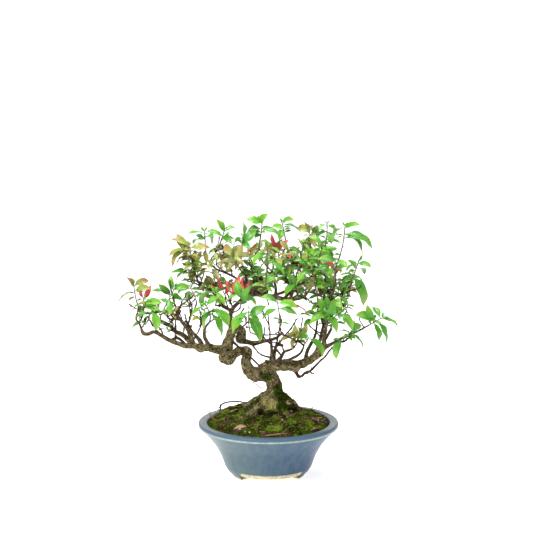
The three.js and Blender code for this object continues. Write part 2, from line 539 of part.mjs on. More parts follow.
function growTwig(end, endDirection, tipRadius) {
  const fork = bestForkFor(end);
  const way = end.clone().sub(fork.point);
  const length = way.length();
  const start = way.clone().divideScalar(length).addScaledVector(fork.along, 0.4).addScaledVector(up, 0.3);
  start.normalize().multiplyScalar(length * 0.8);
  const finish = endDirection.clone().multiplyScalar(length * 0.7);
  const segments = Math.min(Math.max(Math.round(length / 28), 2), 3);
  const baseRadius = Math.min(fork.radius * 0.6, tipRadius + length * 0.01);
  const rows = [];
  for (let i = 0; i <= segments; i++) {
    const t = i / segments;
    const point = fork.point.clone().multiplyScalar(2 * t ** 3 - 3 * t ** 2 + 1);
    point.addScaledVector(start, t ** 3 - 2 * t ** 2 + t);
    point.addScaledVector(end, 3 * t ** 2 - 2 * t ** 3);
    point.addScaledVector(finish, t ** 3 - t ** 2);
    rows.push([point.x, point.y, point.z, baseRadius + (tipRadius - baseRadius) * t]);
  }
  woodPieces.push(limbFrom(rows, 3, 0, { end: endDirection }));
  addToSkeleton(rows.slice(1, segments));
}

function sidesFor(radius) {
  if (radius > 6) return 8;
  return radius > 3.2 ? 5 : 4;
}

const growsNoTwigs = ["trunk", "cutStub", "stubUp", "stubNub", "hangTwig", "thinTwig"];

for (const [name, rows] of Object.entries(limbs)) {
  const thickest = Math.max(...rows.map((row) => row[3]));
  woodPieces.push(limbFrom(rows, sidesFor(thickest)));
  if (!growsNoTwigs.includes(name)) addToSkeleton(rows);
}

const rootRows = Object.values(roots).map((rows) =>
  rows.map(([x, y, lift, radius]) => [x, y, soilHeight(x, y) + lift, radius]));
rootRows.forEach((rows) => woodPieces.push(limbFrom(rows, 6)));

// Young stems and leaves

const placed = [];

function boxesMeet(a, b) {
  return [0, 1, 2].every((k) => a.min[k] <= b.max[k] && b.min[k] <= a.max[k]);
}

function isClear(solid, owner, core = null) {
  const box = solid.boundingBox();
  return placed.every((other) => {
    if (!boxesMeet(box, other.box)) return true;
    if (other.owner !== owner) return solid.intersect(other.solid).isEmpty();
    return !core || !other.core || core.intersect(other.core).isEmpty();
  });
}

function keep(solid, owner, core = null) {
  placed.push({ owner, solid, core, box: solid.boundingBox() });
}

// A stem's own line, from its seat or from a fork on the first stem of the spray
function stemLine(spray, index, random) {
  const tip = new THREE.Vector3(...spray.stems[index].tip);
  const bend = new THREE.Vector3(random() - 0.5, random() - 0.5, 0.2 * random() - 0.3);
  if (index === 0) {
    const seat = new THREE.Vector3(...spray.seat);
    const length = tip.distanceTo(seat);
    const middle = seat.clone().lerp(tip, 0.5).addScaledVector(bend, 0.14 * length);
    const direction = middle.clone().sub(seat).normalize();
    return { start: seat, middle, tip, direction };
  }
  const first = spray.lines[0];
  const start = bezier(first.start, first.middle, first.tip, 0.3);
  const length = tip.distanceTo(start);
  const middle = start.clone().lerp(tip, 0.5).addScaledVector(first.direction, 0.18 * length);
  return { start, middle, tip, direction: first.direction };
}

function bezier(a, b, c, t) {
  const point = a.clone().multiplyScalar((1 - t) ** 2);
  return point.addScaledVector(b, 2 * t * (1 - t)).addScaledVector(c, t ** 2);
}

function stemSolid(line, from, grow) {
  const length = line.tip.distanceTo(line.start);
  const stations = [from, 0.5, 1 - 1.5 / length];
  const points = stations.map((t) => bezier(line.start, line.middle, line.tip, t));
  const radii = stations.map((t) => stemBaseRadius + (stemTopRadius - stemBaseRadius) * t + grow);
  if (from === 0) points[0].addScaledVector(line.direction, seatGap);
  const side = new THREE.Vector3(1, 0, 0);
  return limbSolid([...points, line.tip], radii, 3, { pointed: true, side, start: line.direction });
}

// The leaves of one stem as wished for: root, tip, roll, breadth and length
function leafWishes(spray, index, random) {
  const line = spray.lines[index];
  const length = line.tip.distanceTo(line.start);
  const spacing = spray.spacing ?? pairSpacing;
  const wishes = [];
  const rootOf = (pair) => {
    const down = Math.min(firstPairDown + pair * spacing, 0.85 * length);
    return bezier(line.start, line.middle, line.tip, 1 - down / length);
  };
  spray.stems[index].leaves.forEach(([dx, dz], i) => {
    const root = rootOf(Math.floor(i / 2));
    const share = spray.colour === "red" ? redLeafSize : 1;
    const size = (0.85 + 0.25 * random()) * share;
    const roll = (random() - 0.5) * 1.1;
    const breadth = (0.85 + 0.3 * random()) * share;
    const x = line.tip.x + dx - root.x;
    const z = line.tip.z + dz - root.z;
    const seen = Math.hypot(x, z);
    const full = Math.max(leafLength * size * (seen < 13 ? 0.62 : 1), seen / 0.93);
    const depth = Math.sqrt(Math.max((0.93 * full) ** 2 - seen ** 2, 0)) * [-1, 1, 1, -1][i % 4];
    const tip = root.clone().add(new THREE.Vector3(x, depth, z));
    wishes.push({ root, tip, roll, breadth, length: full });
  });
  return wishes;
}

// A folded blade, arched along its length. grow thickens it all round and first leaves off its root
function leafSolid(wish, grow = 0, first = 0) {
  const chord = wish.tip.clone().sub(wish.root);
  const ahead = chord.clone().normalize();
  const outward = new THREE.Vector3(chord.x, chord.y, 0).normalize();
  const nearSide = wish.root.y < 40 ? -1 : 1;
  const lift = up.clone().addScaledVector(outward, 0.6).add(new THREE.Vector3(0, 0.7 * nearSide, 0));
  lift.addScaledVector(ahead, -lift.dot(ahead)).normalize();
  const middle = wish.root.clone().lerp(wish.tip, 0.5).addScaledVector(lift, leafArch * wish.length);
  const half = 0.5 * leafWidth * wish.breadth * wish.length;
  const vertices = [];
  const rows = leafRows.slice(first);
  rows.forEach((row) => {
    const centre = bezier(wish.root, middle, wish.tip, row.along);
    const ahead = middle.clone().sub(wish.root).multiplyScalar(1 - row.along);
    ahead.addScaledVector(wish.tip.clone().sub(middle), row.along).normalize();
    const face = lift.clone().addScaledVector(ahead, -lift.dot(ahead)).normalize();
    face.applyAxisAngle(ahead, wish.roll);
    const across = ahead.clone().cross(face);
    const width = half * row.width + grow;
    const keel = row.thickness + 2 * grow;
    const edge = centre.clone().addScaledVector(face, grow);
    vertices.push(edge.clone().addScaledVector(across, -width));
    vertices.push(edge.clone().addScaledVector(across, width));
    vertices.push(edge.clone().addScaledVector(face, -keel));
  });
  vertices.push(wish.tip.clone().addScaledVector(chord, (2 * grow) / wish.length));
  const triangles = [[0, 2, 1]];
  for (let i = 0; i + 1 < rows.length; i++) {
    const a = 3 * i;
    const b = a + 3;
    triangles.push([a, a + 1, b + 1], [a, b + 1, b]);
    triangles.push([a + 1, a + 2, b + 2], [a + 1, b + 2, b + 1], [a + 2, a, b + 2], [a, b, b + 2]);
  }
  const last = 3 * (rows.length - 1);
  for (let j = 0; j < 3; j++) triangles.push([last + j, last + ((j + 1) % 3), last + 3]);
  return solidFrom(vertices, triangles);
}

// A wish turned about its root and lifted, to pass beside what is in its way
function movedWish(wish, turn, lift) {
  const chord = wish.tip.clone().sub(wish.root);
  const length = chord.length();
  chord.applyAxisAngle(up, THREE.MathUtils.degToRad(turn));
  chord.z += lift;
  chord.setLength(length);
  return { ...wish, tip: wish.root.clone().add(chord) };
}

function placeLeaf(wish, owner) {
  for (const lift of leafLifts) {
    for (const turn of leafTurns) {
      const moved = movedWish(wish, turn, lift);
      const core = leafSolid(moved, 0, 1);
      if (isClear(leafSolid(moved, leafClearance), owner, core)) {
        const solid = leafSolid(moved);
        keep(solid, owner, core);
        return solid;
      }
    }
  }
  return null;
}

sprays.forEach((spray, i) => {
  spray.random = randomFrom(7919 * (i + 1));
  spray.lines = [];
  spray.stems.forEach((_, k) => spray.lines.push(stemLine(spray, k, spray.random)));
  growTwig(new THREE.Vector3(...spray.seat), spray.lines[0].direction, twigTipRadius);
});
bareTwigs.forEach((place) => {
  const end = new THREE.Vector3(...place);
  growTwig(end, new THREE.Vector3(place[0] * 0.002, 0, 1).normalize(), bareTipRadius);
});
woodPieces.forEach((solid) => keep(solid, "wood"));

sprays.forEach((spray) => {
  spray.solids = [];
  spray.lines.forEach((line) => {
    for (const shift of stemShifts) {
      const moved = { ...line, tip: line.tip.clone().add(new THREE.Vector3(0, shift, 0)) };
      if (shift !== stemShifts.at(-1) && !isClear(stemSolid(moved, 0.1, leafClearance), spray.name)) continue;
      line.tip = moved.tip;
      spray.solids.push(stemSolid(line, 0, 0));
      return;
    }
  });
  spray.solids.forEach((solid) => keep(solid, spray.name));
});

sprays.forEach((spray) => {
  spray.stems.forEach((_, k) => {
    leafWishes(spray, k, spray.random).forEach((wish) => {
      const leaf = placeLeaf(wish, spray.name);
      if (leaf) spray.solids.push(leaf);
    });
  });
});

// The plant in its pot, with the middle of its lowest face at the origin
const bonsai = new THREE.Group();
const wood = mainBody(fuse(woodPieces));
const trunkCut = limbFrom(limbs.trunk.slice(0, 5), sidesFor(rimRadius), rootGap);
const rootCut = fuse([trunkCut, ...rootRows.map((rows) => limbFrom(rows, 6, rootGap))]);
bonsai.add(meshOf("pot", potSolid(), colours.glaze, 0.25));
bonsai.add(meshOf("soil", soilSolid(rootCut), colours.soil, 0.95));
bonsai.add(meshOf("wood", wood, colours.bark, 0.85));
sprays.forEach((spray) => {
  bonsai.add(meshOf(spray.name, mainBody(fuse(spray.solids)), colours[spray.colour], 0.4));
});
const box = new THREE.Box3().setFromObject(bonsai);
const middle = box.getCenter(new THREE.Vector3());
bonsai.position.set(-middle.x, -middle.y, -box.min.z);

export default bonsai;
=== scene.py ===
# Star jasmine bonsai in its pot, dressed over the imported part. Places in the tables are millimetres from the
# foot of the pot's axis, as in the part's source, and place() turns them into the frame's metres.
import math
import bpy
import numpy as np
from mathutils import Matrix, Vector, kdtree, noise


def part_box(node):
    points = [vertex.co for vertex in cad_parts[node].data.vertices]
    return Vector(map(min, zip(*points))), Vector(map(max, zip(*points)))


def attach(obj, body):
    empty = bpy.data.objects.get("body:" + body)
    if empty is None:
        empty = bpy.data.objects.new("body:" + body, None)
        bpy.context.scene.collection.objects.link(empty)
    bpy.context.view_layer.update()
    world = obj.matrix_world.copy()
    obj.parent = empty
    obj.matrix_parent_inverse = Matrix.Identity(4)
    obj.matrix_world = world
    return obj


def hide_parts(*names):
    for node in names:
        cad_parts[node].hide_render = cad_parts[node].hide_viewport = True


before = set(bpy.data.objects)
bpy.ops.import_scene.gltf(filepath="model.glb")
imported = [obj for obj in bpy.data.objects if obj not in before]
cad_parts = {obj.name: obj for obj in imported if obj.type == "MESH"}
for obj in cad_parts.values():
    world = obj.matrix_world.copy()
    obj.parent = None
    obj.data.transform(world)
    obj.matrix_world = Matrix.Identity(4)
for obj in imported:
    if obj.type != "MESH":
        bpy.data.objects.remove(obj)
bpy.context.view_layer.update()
potLow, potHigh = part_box("pot")
potAxis = np.array([(potLow.x + potHigh.x) / 2, (potLow.y + potHigh.y) / 2, 0])
mm = 0.001
fullTurn = 6.283
seeds = {"soilAndLitter": 2718, "shoots": 7919, "knobs": 4242, "extraTwigs": 9091, "sprigs": 3301}
up = np.array([0.0, 0.0, 1.0])


def place(point):
    return np.array(point[:3], float) * mm + potAxis


def unit(vector):  # a vector of no length stays as it is, as in the part's rule
    return vector / (np.linalg.norm(vector) or 1)


def randomFrom(seed):  # steady numbers from 0 to 1, the same as the part's own
    state = seed
    while True:
        state = state * 16807 % 2147483647
        yield state / 2147483647


def deselectAll():
    bpy.ops.object.select_all(action="DESELECT")


def makeActive(piece):
    deselectAll()
    piece.select_set(True)
    bpy.context.view_layer.objects.active = piece


def applyModifiers(piece):
    makeActive(piece)
    for modifier in list(piece.modifiers):
        bpy.ops.object.modifier_apply(modifier=modifier.name)


def settle(piece):
    makeActive(piece)
    bpy.ops.object.transform_apply(location=True, rotation=True, scale=True)


def joinPieces(pieces):
    deselectAll()
    for piece in pieces:
        piece.select_set(True)
    bpy.context.view_layer.objects.active = pieces[0]
    bpy.ops.object.join()
    return bpy.context.object


def smoothShade(piece, angle=None):
    makeActive(piece)
    if angle is None:
        bpy.ops.object.shade_smooth()
    else:
        bpy.ops.object.shade_smooth_by_angle(angle=math.radians(angle))


def wear(piece, material):
    piece.data.materials.clear()
    piece.data.materials.append(material)


def registerPiece(piece, name, material, slotName, replaced=()):
    piece.name = name
    piece.data.name = name
    if material:
        wear(piece, material)
    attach(piece, "root")
    if replaced:
        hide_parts(*replaced)
    return piece


def getCo(mesh):
    co = np.empty(len(mesh.vertices) * 3)
    mesh.vertices.foreach_get("co", co)
    return co.reshape(-1, 3)


def setCo(mesh, co):
    mesh.vertices.foreach_set("co", np.asarray(co).ravel())
    mesh.update()


def getNormals(mesh):
    normals = np.empty(len(mesh.vertices) * 3)
    mesh.vertex_normals.foreach_get("vector", normals)
    return normals.reshape(-1, 3)


def setAttribute(mesh, name, values):
    attribute = mesh.attributes.get(name) or mesh.attributes.new(name, "FLOAT", "POINT")
    spread = np.broadcast_to(np.asarray(values, np.float32), len(mesh.vertices))
    attribute.data.foreach_set("value", spread.copy())


def getAttribute(mesh, name):
    values = np.empty(len(mesh.vertices), np.float32)
    mesh.attributes[name].data.foreach_get("value", values)
    return values


def copyOf(template):
    piece = template.copy()
    piece.data = template.data.copy()
    bpy.context.collection.objects.link(piece)
    return piece


def smoothstep(low, high, values):
    t = np.clip((np.asarray(values, float) - low) / (high - low), 0, 1)
    return t * t * (3 - 2 * t)


# Camera, light and floor

camera = {"place": (-2.85, -1730, 532), "downTilt": 7.277, "lens": 80.48}
lights = {
    "key": {"place": (-800, -900, 1300), "aim": (0, 0, 200), "size": 600, "power": 22},
    "top": {"place": (200, 200, 1500), "aim": (0, 0, 200), "size": 700, "power": 16},
}
studio = {"lightAllRound": 0.5, "backdrop": 1.0, "floorTone": 0.85, "floorGlow": 0.7, "floorSize": 60,
          "sun": 0.8, "sunSoftness": 40, "sunPlace": (-500, -700, 1500), "sunAim": (0, 0, 100)}


def addCamera():
    bpy.ops.object.camera_add(location=place(camera["place"]))
    cameraObject = bpy.context.object
    cameraObject.rotation_euler = (math.radians(90 - camera["downTilt"]), 0, 0)
    cameraObject.data.lens = camera["lens"]
    cameraObject.data.sensor_width = 36
    cameraObject.data.clip_end = 100
    bpy.context.scene.camera = cameraObject


def aimAt(lamp, target):
    way = Vector(place(target)) - lamp.location
    lamp.rotation_euler = way.to_track_quat("-Z", "Y").to_euler()


def addLights():
    for name, light in lights.items():
        bpy.ops.object.light_add(type="AREA", location=place(light["place"]))
        lamp = bpy.context.object
        lamp.name = name + "Light"
        lamp.data.size = light["size"] * mm
        lamp.data.energy = light["power"]
        lamp.visible_camera = False
        aimAt(lamp, light["aim"])
    bpy.ops.object.light_add(type="SUN", location=place(studio["sunPlace"]))
    sun = bpy.context.object
    sun.data.energy = studio["sun"]
    sun.data.angle = math.radians(studio["sunSoftness"])
    aimAt(sun, studio["sunAim"])


def addBackdrop():  # white where the camera looks at it, and dimmer as a light
    world = bpy.data.worlds.new("studio")
    bpy.context.scene.world = world
    world.use_nodes = True
    nodes = world.node_tree.nodes
    soft = nodes["Background"]
    white = nodes.new("ShaderNodeBackground")
    for background, strength in ((soft, studio["lightAllRound"]), (white, studio["backdrop"])):
        background.inputs["Color"].default_value = (1, 1, 1, 1)
        background.inputs["Strength"].default_value = strength
    rays = nodes.new("ShaderNodeLightPath")
    mix = nodes.new("ShaderNodeMixShader")
    links = world.node_tree.links
    links.new(rays.outputs["Is Camera Ray"], mix.inputs["Fac"])
    links.new(soft.outputs["Background"], mix.inputs[1])
    links.new(white.outputs["Background"], mix.inputs[2])
    links.new(mix.outputs["Shader"], nodes["World Output"].inputs["Surface"])
    bpy.context.scene.view_settings.view_transform = "Standard"


def addFloor():
    bpy.ops.mesh.primitive_plane_add(size=studio["floorSize"], location=(0, 0, 0))
    floor = bpy.context.object
    floor.name = "floor"
    floorMaterial = bpy.data.materials.new("paleFloor")
    floorMaterial.use_nodes = True
    shader = floorMaterial.node_tree.nodes["Principled BSDF"]
    constants = {"Base Color": (*[studio["floorTone"]] * 3, 1), "Roughness": 1.0, "Specular IOR Level": 0.0,
                 "Emission Color": (1, 1, 1, 1), "Emission Strength": studio["floorGlow"]}
    for name, value in constants.items():
        shader.inputs[name].default_value = value
    floor.data.materials.append(floorMaterial)


deselectAll()
addCamera()
addLights()
addBackdrop()
addFloor()
print("camera, lights and floor made")


# Limbs, roots, bare twigs and leafy shoots, as in the part's source. A row of a limb is a point and the
# radius there. A row of a root is the same, with the height over the soil in place of z.

limbs = {
    "trunk": [
        [-1, 0, 62, 15], [0, 0, 82, 21], [3, 0, 104, 17.6], [8, 0, 120, 13.8], [9, 0, 132, 11.4],
        [4, -2, 145, 11.4], [-7, -4, 152, 11.4], [-21, -6, 152, 10.6], [-30, -6, 159, 8.8],
        [-33, -4, 168, 7.4], [-32, -1, 177, 7], [-31, 3, 183, 7], [-38, 3, 185, 6.6],
        [-45, -3, 185, 6.6], [-51, -9, 183, 7], [-60, -15, 178.5, 11], [-63, -6, 183, 9.4],
        [-61, 3, 190, 8.2], [-59, 6, 199, 7.6], [-57, 8, 208, 6.4],
    ],
    "leader": [
        [-57, 8, 206, 5.2], [-56, 8, 220, 3.2], [-56, 5, 236, 2.9], [-53, 4, 247, 2.9],
        [-44, 4, 257, 2.9], [-33, 6, 265, 3.2], [-20, 8, 269, 3.6], [-8, 12, 267, 3.6],
        [7, 16, 264, 3.4], [23, 20, 260, 3.1], [40, 26, 259, 2.7], [52, 32, 261, 2.2], [61, 38, 270, 1.7],
    ],
    "backLoop": [
        [-57, 7, 206, 6.6], [-52, 11, 215, 7], [-44, 15, 215, 7.2], [-40, 19, 207, 7.2],
        [-43, 21, 199, 6.2], [-35, 25, 195, 4.2], [-22, 30, 191, 3.5], [-10, 38, 192, 3.1],
        [2, 50, 192, 2.7], [13, 62, 194, 2.2], [22, 74, 200, 1.7],
    ],
    "leftLimb": [
        [-63, 3, 185, 8], [-76, 0, 188, 6.4], [-89, -6, 192, 5.6], [-100, -10, 191, 5.2],
        [-110, -14, 197, 4.8],
    ],
    "rightLimb": [
        [-9, -3, 156, 10.4], [5, -4, 163, 8.6], [21, -6, 165, 7.8], [38, -8, 166, 7.2],
        [52, -12, 170, 6.4], [65, -18, 178, 5.6], [75, -22, 187, 5], [81, -24, 196, 4.2],
    ],
    "leftLow": [
        [-109, -14, 196, 4.2], [-120, -20, 197, 3.8], [-135, -26, 203, 3.4], [-147, -30, 209, 3.1],
        [-156, -32, 215, 2.8], [-166, -33, 220, 2.6], [-174, -33, 217, 2.6], [-181, -32, 218, 3.1],
        [-184, -30, 224, 1.9], [-187, -28, 231, 1.7], [-192, -26, 238, 1.5], [-190, -25, 247, 1.3],
    ],
    "leftMiddle": [
        [-110, -14, 198, 4.4], [-116, -8, 202, 3.9], [-126, 0, 209, 3.5], [-138, 10, 213, 3.1],
        [-148, 19, 221, 2.7], [-160, 27, 225, 2.5],
    ],
    "leftUp": [
        [-111, -13, 199, 3.8], [-118, -18, 222, 3.2], [-127, -24, 235, 2.7], [-132, -28, 246, 2.1],
        [-128, -32, 257, 1.6],
    ],
    "leftBack": [
        [-97, -8, 191, 4.2], [-101, 10, 197, 3.3], [-107, 32, 200, 2.7], [-116, 52, 205, 2.2],
        [-123, 70, 212, 1.7],
    ],
    "leftFront": [
        [-87, -6, 192, 4], [-89, -26, 203, 3], [-92, -44, 216, 2.5], [-90, -60, 231, 2], [-84, -68, 240, 1.5],
    ],
    "cutStub": [[24, -7, 165, 5.8], [34, -17, 164, 5.6], [44, -25, 164, 5.3]],
    "stubUp": [[5, -2, 165, 4.6], [5, 2, 182, 2.6], [4, 4, 199, 2.3]],
    "stubHook": [[8, 0, 168, 3], [10, 6, 186, 2.4], [13, 9, 192, 2.3], [22, 12, 191, 2.2]],
    "stubCurl": [
        [11, -4, 169, 3.4], [19, -8, 178, 2.6], [23, -11, 186, 2.2], [32, -14, 190, 2], [39, -18, 196, 1.6],
    ],
    "stubNub": [[2, -6, 168, 3], [-4, -13, 173, 2.4]],
    "rightUpper": [
        [-1, -7, 168, 2.6], [13, -13, 173, 2.5], [24, -16, 174, 2.4], [36, -20, 179, 2.2],
        [46, -26, 187, 2], [51, -34, 198, 1.7],
    ],
    "rightDroop": [
        [36, -12, 164, 2.6], [44, -22, 152, 2], [53, -26, 157, 1.8], [63, -29, 164, 1.7],
        [75, -33, 177, 1.4], [82, -35, 184, 1.3], [91, -39, 197, 1.2], [103, -42, 209, 1.1],
    ],
    "rightInner": [
        [54, -13, 173, 3.6], [57, -9, 187, 2.7], [63, -3, 197, 2.4], [69, 6, 207, 2],
        [72, 16, 221, 1.7], [74, 24, 239, 1.4],
    ],
    "rightMiddle": [
        [66, -18, 179, 3.8], [72, -20, 194, 2.9], [76, -20, 208, 2.4], [79, -18, 222, 2.1],
        [84, -14, 241, 1.8], [90, -8, 260, 1.5], [97, -2, 278, 1.2],
    ],
    "rightFront": [
        [81, -24, 194, 3.8], [81, -32, 212, 2.7], [83, -42, 229, 2.2], [86, -52, 248, 1.7],
        [88, -60, 270, 1.4],
    ],
    "rightBack": [
        [68, -17, 180, 3.6], [75, 4, 186, 2.9], [82, 26, 192, 2.4], [89, 46, 198, 2], [97, 64, 207, 1.6],
    ],
    "rightLong": [
        [80, -24, 194, 3.4], [91, -28, 201, 2.4], [100, -30, 207, 2.1], [115, -33, 214, 1.8],
        [130, -36, 222, 1.6], [145, -38, 231, 1.3],
    ],
    "rightLongLow": [[98, -31, 206, 1.5], [108, -42, 208, 1.3], [117, -46, 214, 1.2]],
    "crownUp": [
        [-18, 8, 268, 3.6], [-17, 5, 282, 3.2], [-20, 2, 294, 2.7], [-23, 0, 309, 2.1], [-20, -2, 326, 1.6],
    ],
    "crownSecond": [[-33, 6, 265, 2.9], [-35, 2, 279, 2.2], [-33, -2, 295, 1.9], [-37, -4, 311, 1.5]],
    "crownThird": [[10, 17, 263, 2.8], [11, 14, 277, 2.1], [8, 12, 293, 1.8], [13, 10, 308, 1.5]],
    "crownRight": [[32, 22, 260, 2.6], [38, 14, 274, 2.1], [46, 6, 289, 1.8], [55, 0, 305, 1.4]],
    "crownBack": [[-4, 14, 266, 3], [-1, 36, 274, 2.6], [4, 58, 279, 2.1], [10, 80, 286, 1.6]],
    "crownBackRight": [[23, 20, 260, 2.8], [35, 44, 269, 2.3], [51, 62, 277, 1.9], [68, 78, 285, 1.5]],
    "crownBackLeft": [[-33, 6, 265, 2.8], [-45, 28, 272, 2.3], [-61, 50, 279, 1.9], [-80, 72, 284, 1.5]],
    "crownFront": [[-24, 6, 268, 3], [-24, -20, 279, 2.4], [-18, -44, 287, 2], [-8, -64, 290, 1.6]],
    "crownFrontRight": [[2, 15, 264, 2.8], [20, -10, 274, 2.3], [37, -32, 285, 1.9], [52, -50, 296, 1.5]],
    "diagonal": [
        [-54, 4, 245, 2.4], [-67, -1, 252, 2.1], [-75, -5, 264, 1.9], [-84, -9, 277, 1.8],
        [-98, -13, 285, 1.6], [-109, -18, 308, 1.3],
    ],
    "upperLeft": [
        [-34, 2, 278, 2.1], [-44, -2, 291, 1.8], [-53, -5, 298, 1.7], [-61, -8, 302, 1.6],
        [-77, -14, 310, 1.4], [-89, -18, 323, 1.2],
    ],
    "hangTwig": [
        [-29, 28, 193, 1.4], [-27, 8, 196, 1], [-18, 2, 186, 0.9], [-9, -2, 179, 0.9], [3, -3, 176, 1],
    ],
    "thinTwig": [[-55, 4, 200, 1.6], [-39, -14, 190, 1], [-27, -14, 180, 0.9], [-9, -8, 160, 1.1]],
}

roots = {
    "left": [
        [-3, -4, 18, 12], [-13, -13, 9, 9.5], [-25, -26, 2.6, 7.4], [-40, -37, 0.6, 5], [-54, -46, -0.8, 3],
    ],
    "stump": [[15, -3, 14, 9], [27, -8, 15, 7.4], [34, -10, 17, 6.2]],
    "right": [[11, 0, 25, 11.6], [23, 3, 18, 10.4], [33, 7, 10, 8.6], [43, 12, 2.6, 6.2], [56, 17, -1, 3.4]],
    "front": [[2, -6, 9, 12], [0, -20, 0.6, 9], [-4, -34, -2.6, 6]],
    "frontRight": [[10, -6, 14, 11], [21, -17, 4, 8], [34, -31, -1, 4.2]],
    "back": [[7, 6, 17, 11], [13, 23, 6, 8], [21, 42, -1, 4]],
    "backLeft": [[-2, 3, 20, 12], [-14, 6, 13, 10], [-26, 12, 6, 8], [-38, 19, 1.6, 6], [-52, 28, -1, 3.4]],
}

bareTwigs = [
    [-203, -20, 259], [-72, 6, 355], [-83, 6, 317], [-101, -4, 283], [-111, -30, 228], [77, -30, 251],
    [-28, 32, 229], [-1, 58, 233], [34, 44, 240], [105, -24, 271], [50, -20, 239], [-63, 26, 257],
]

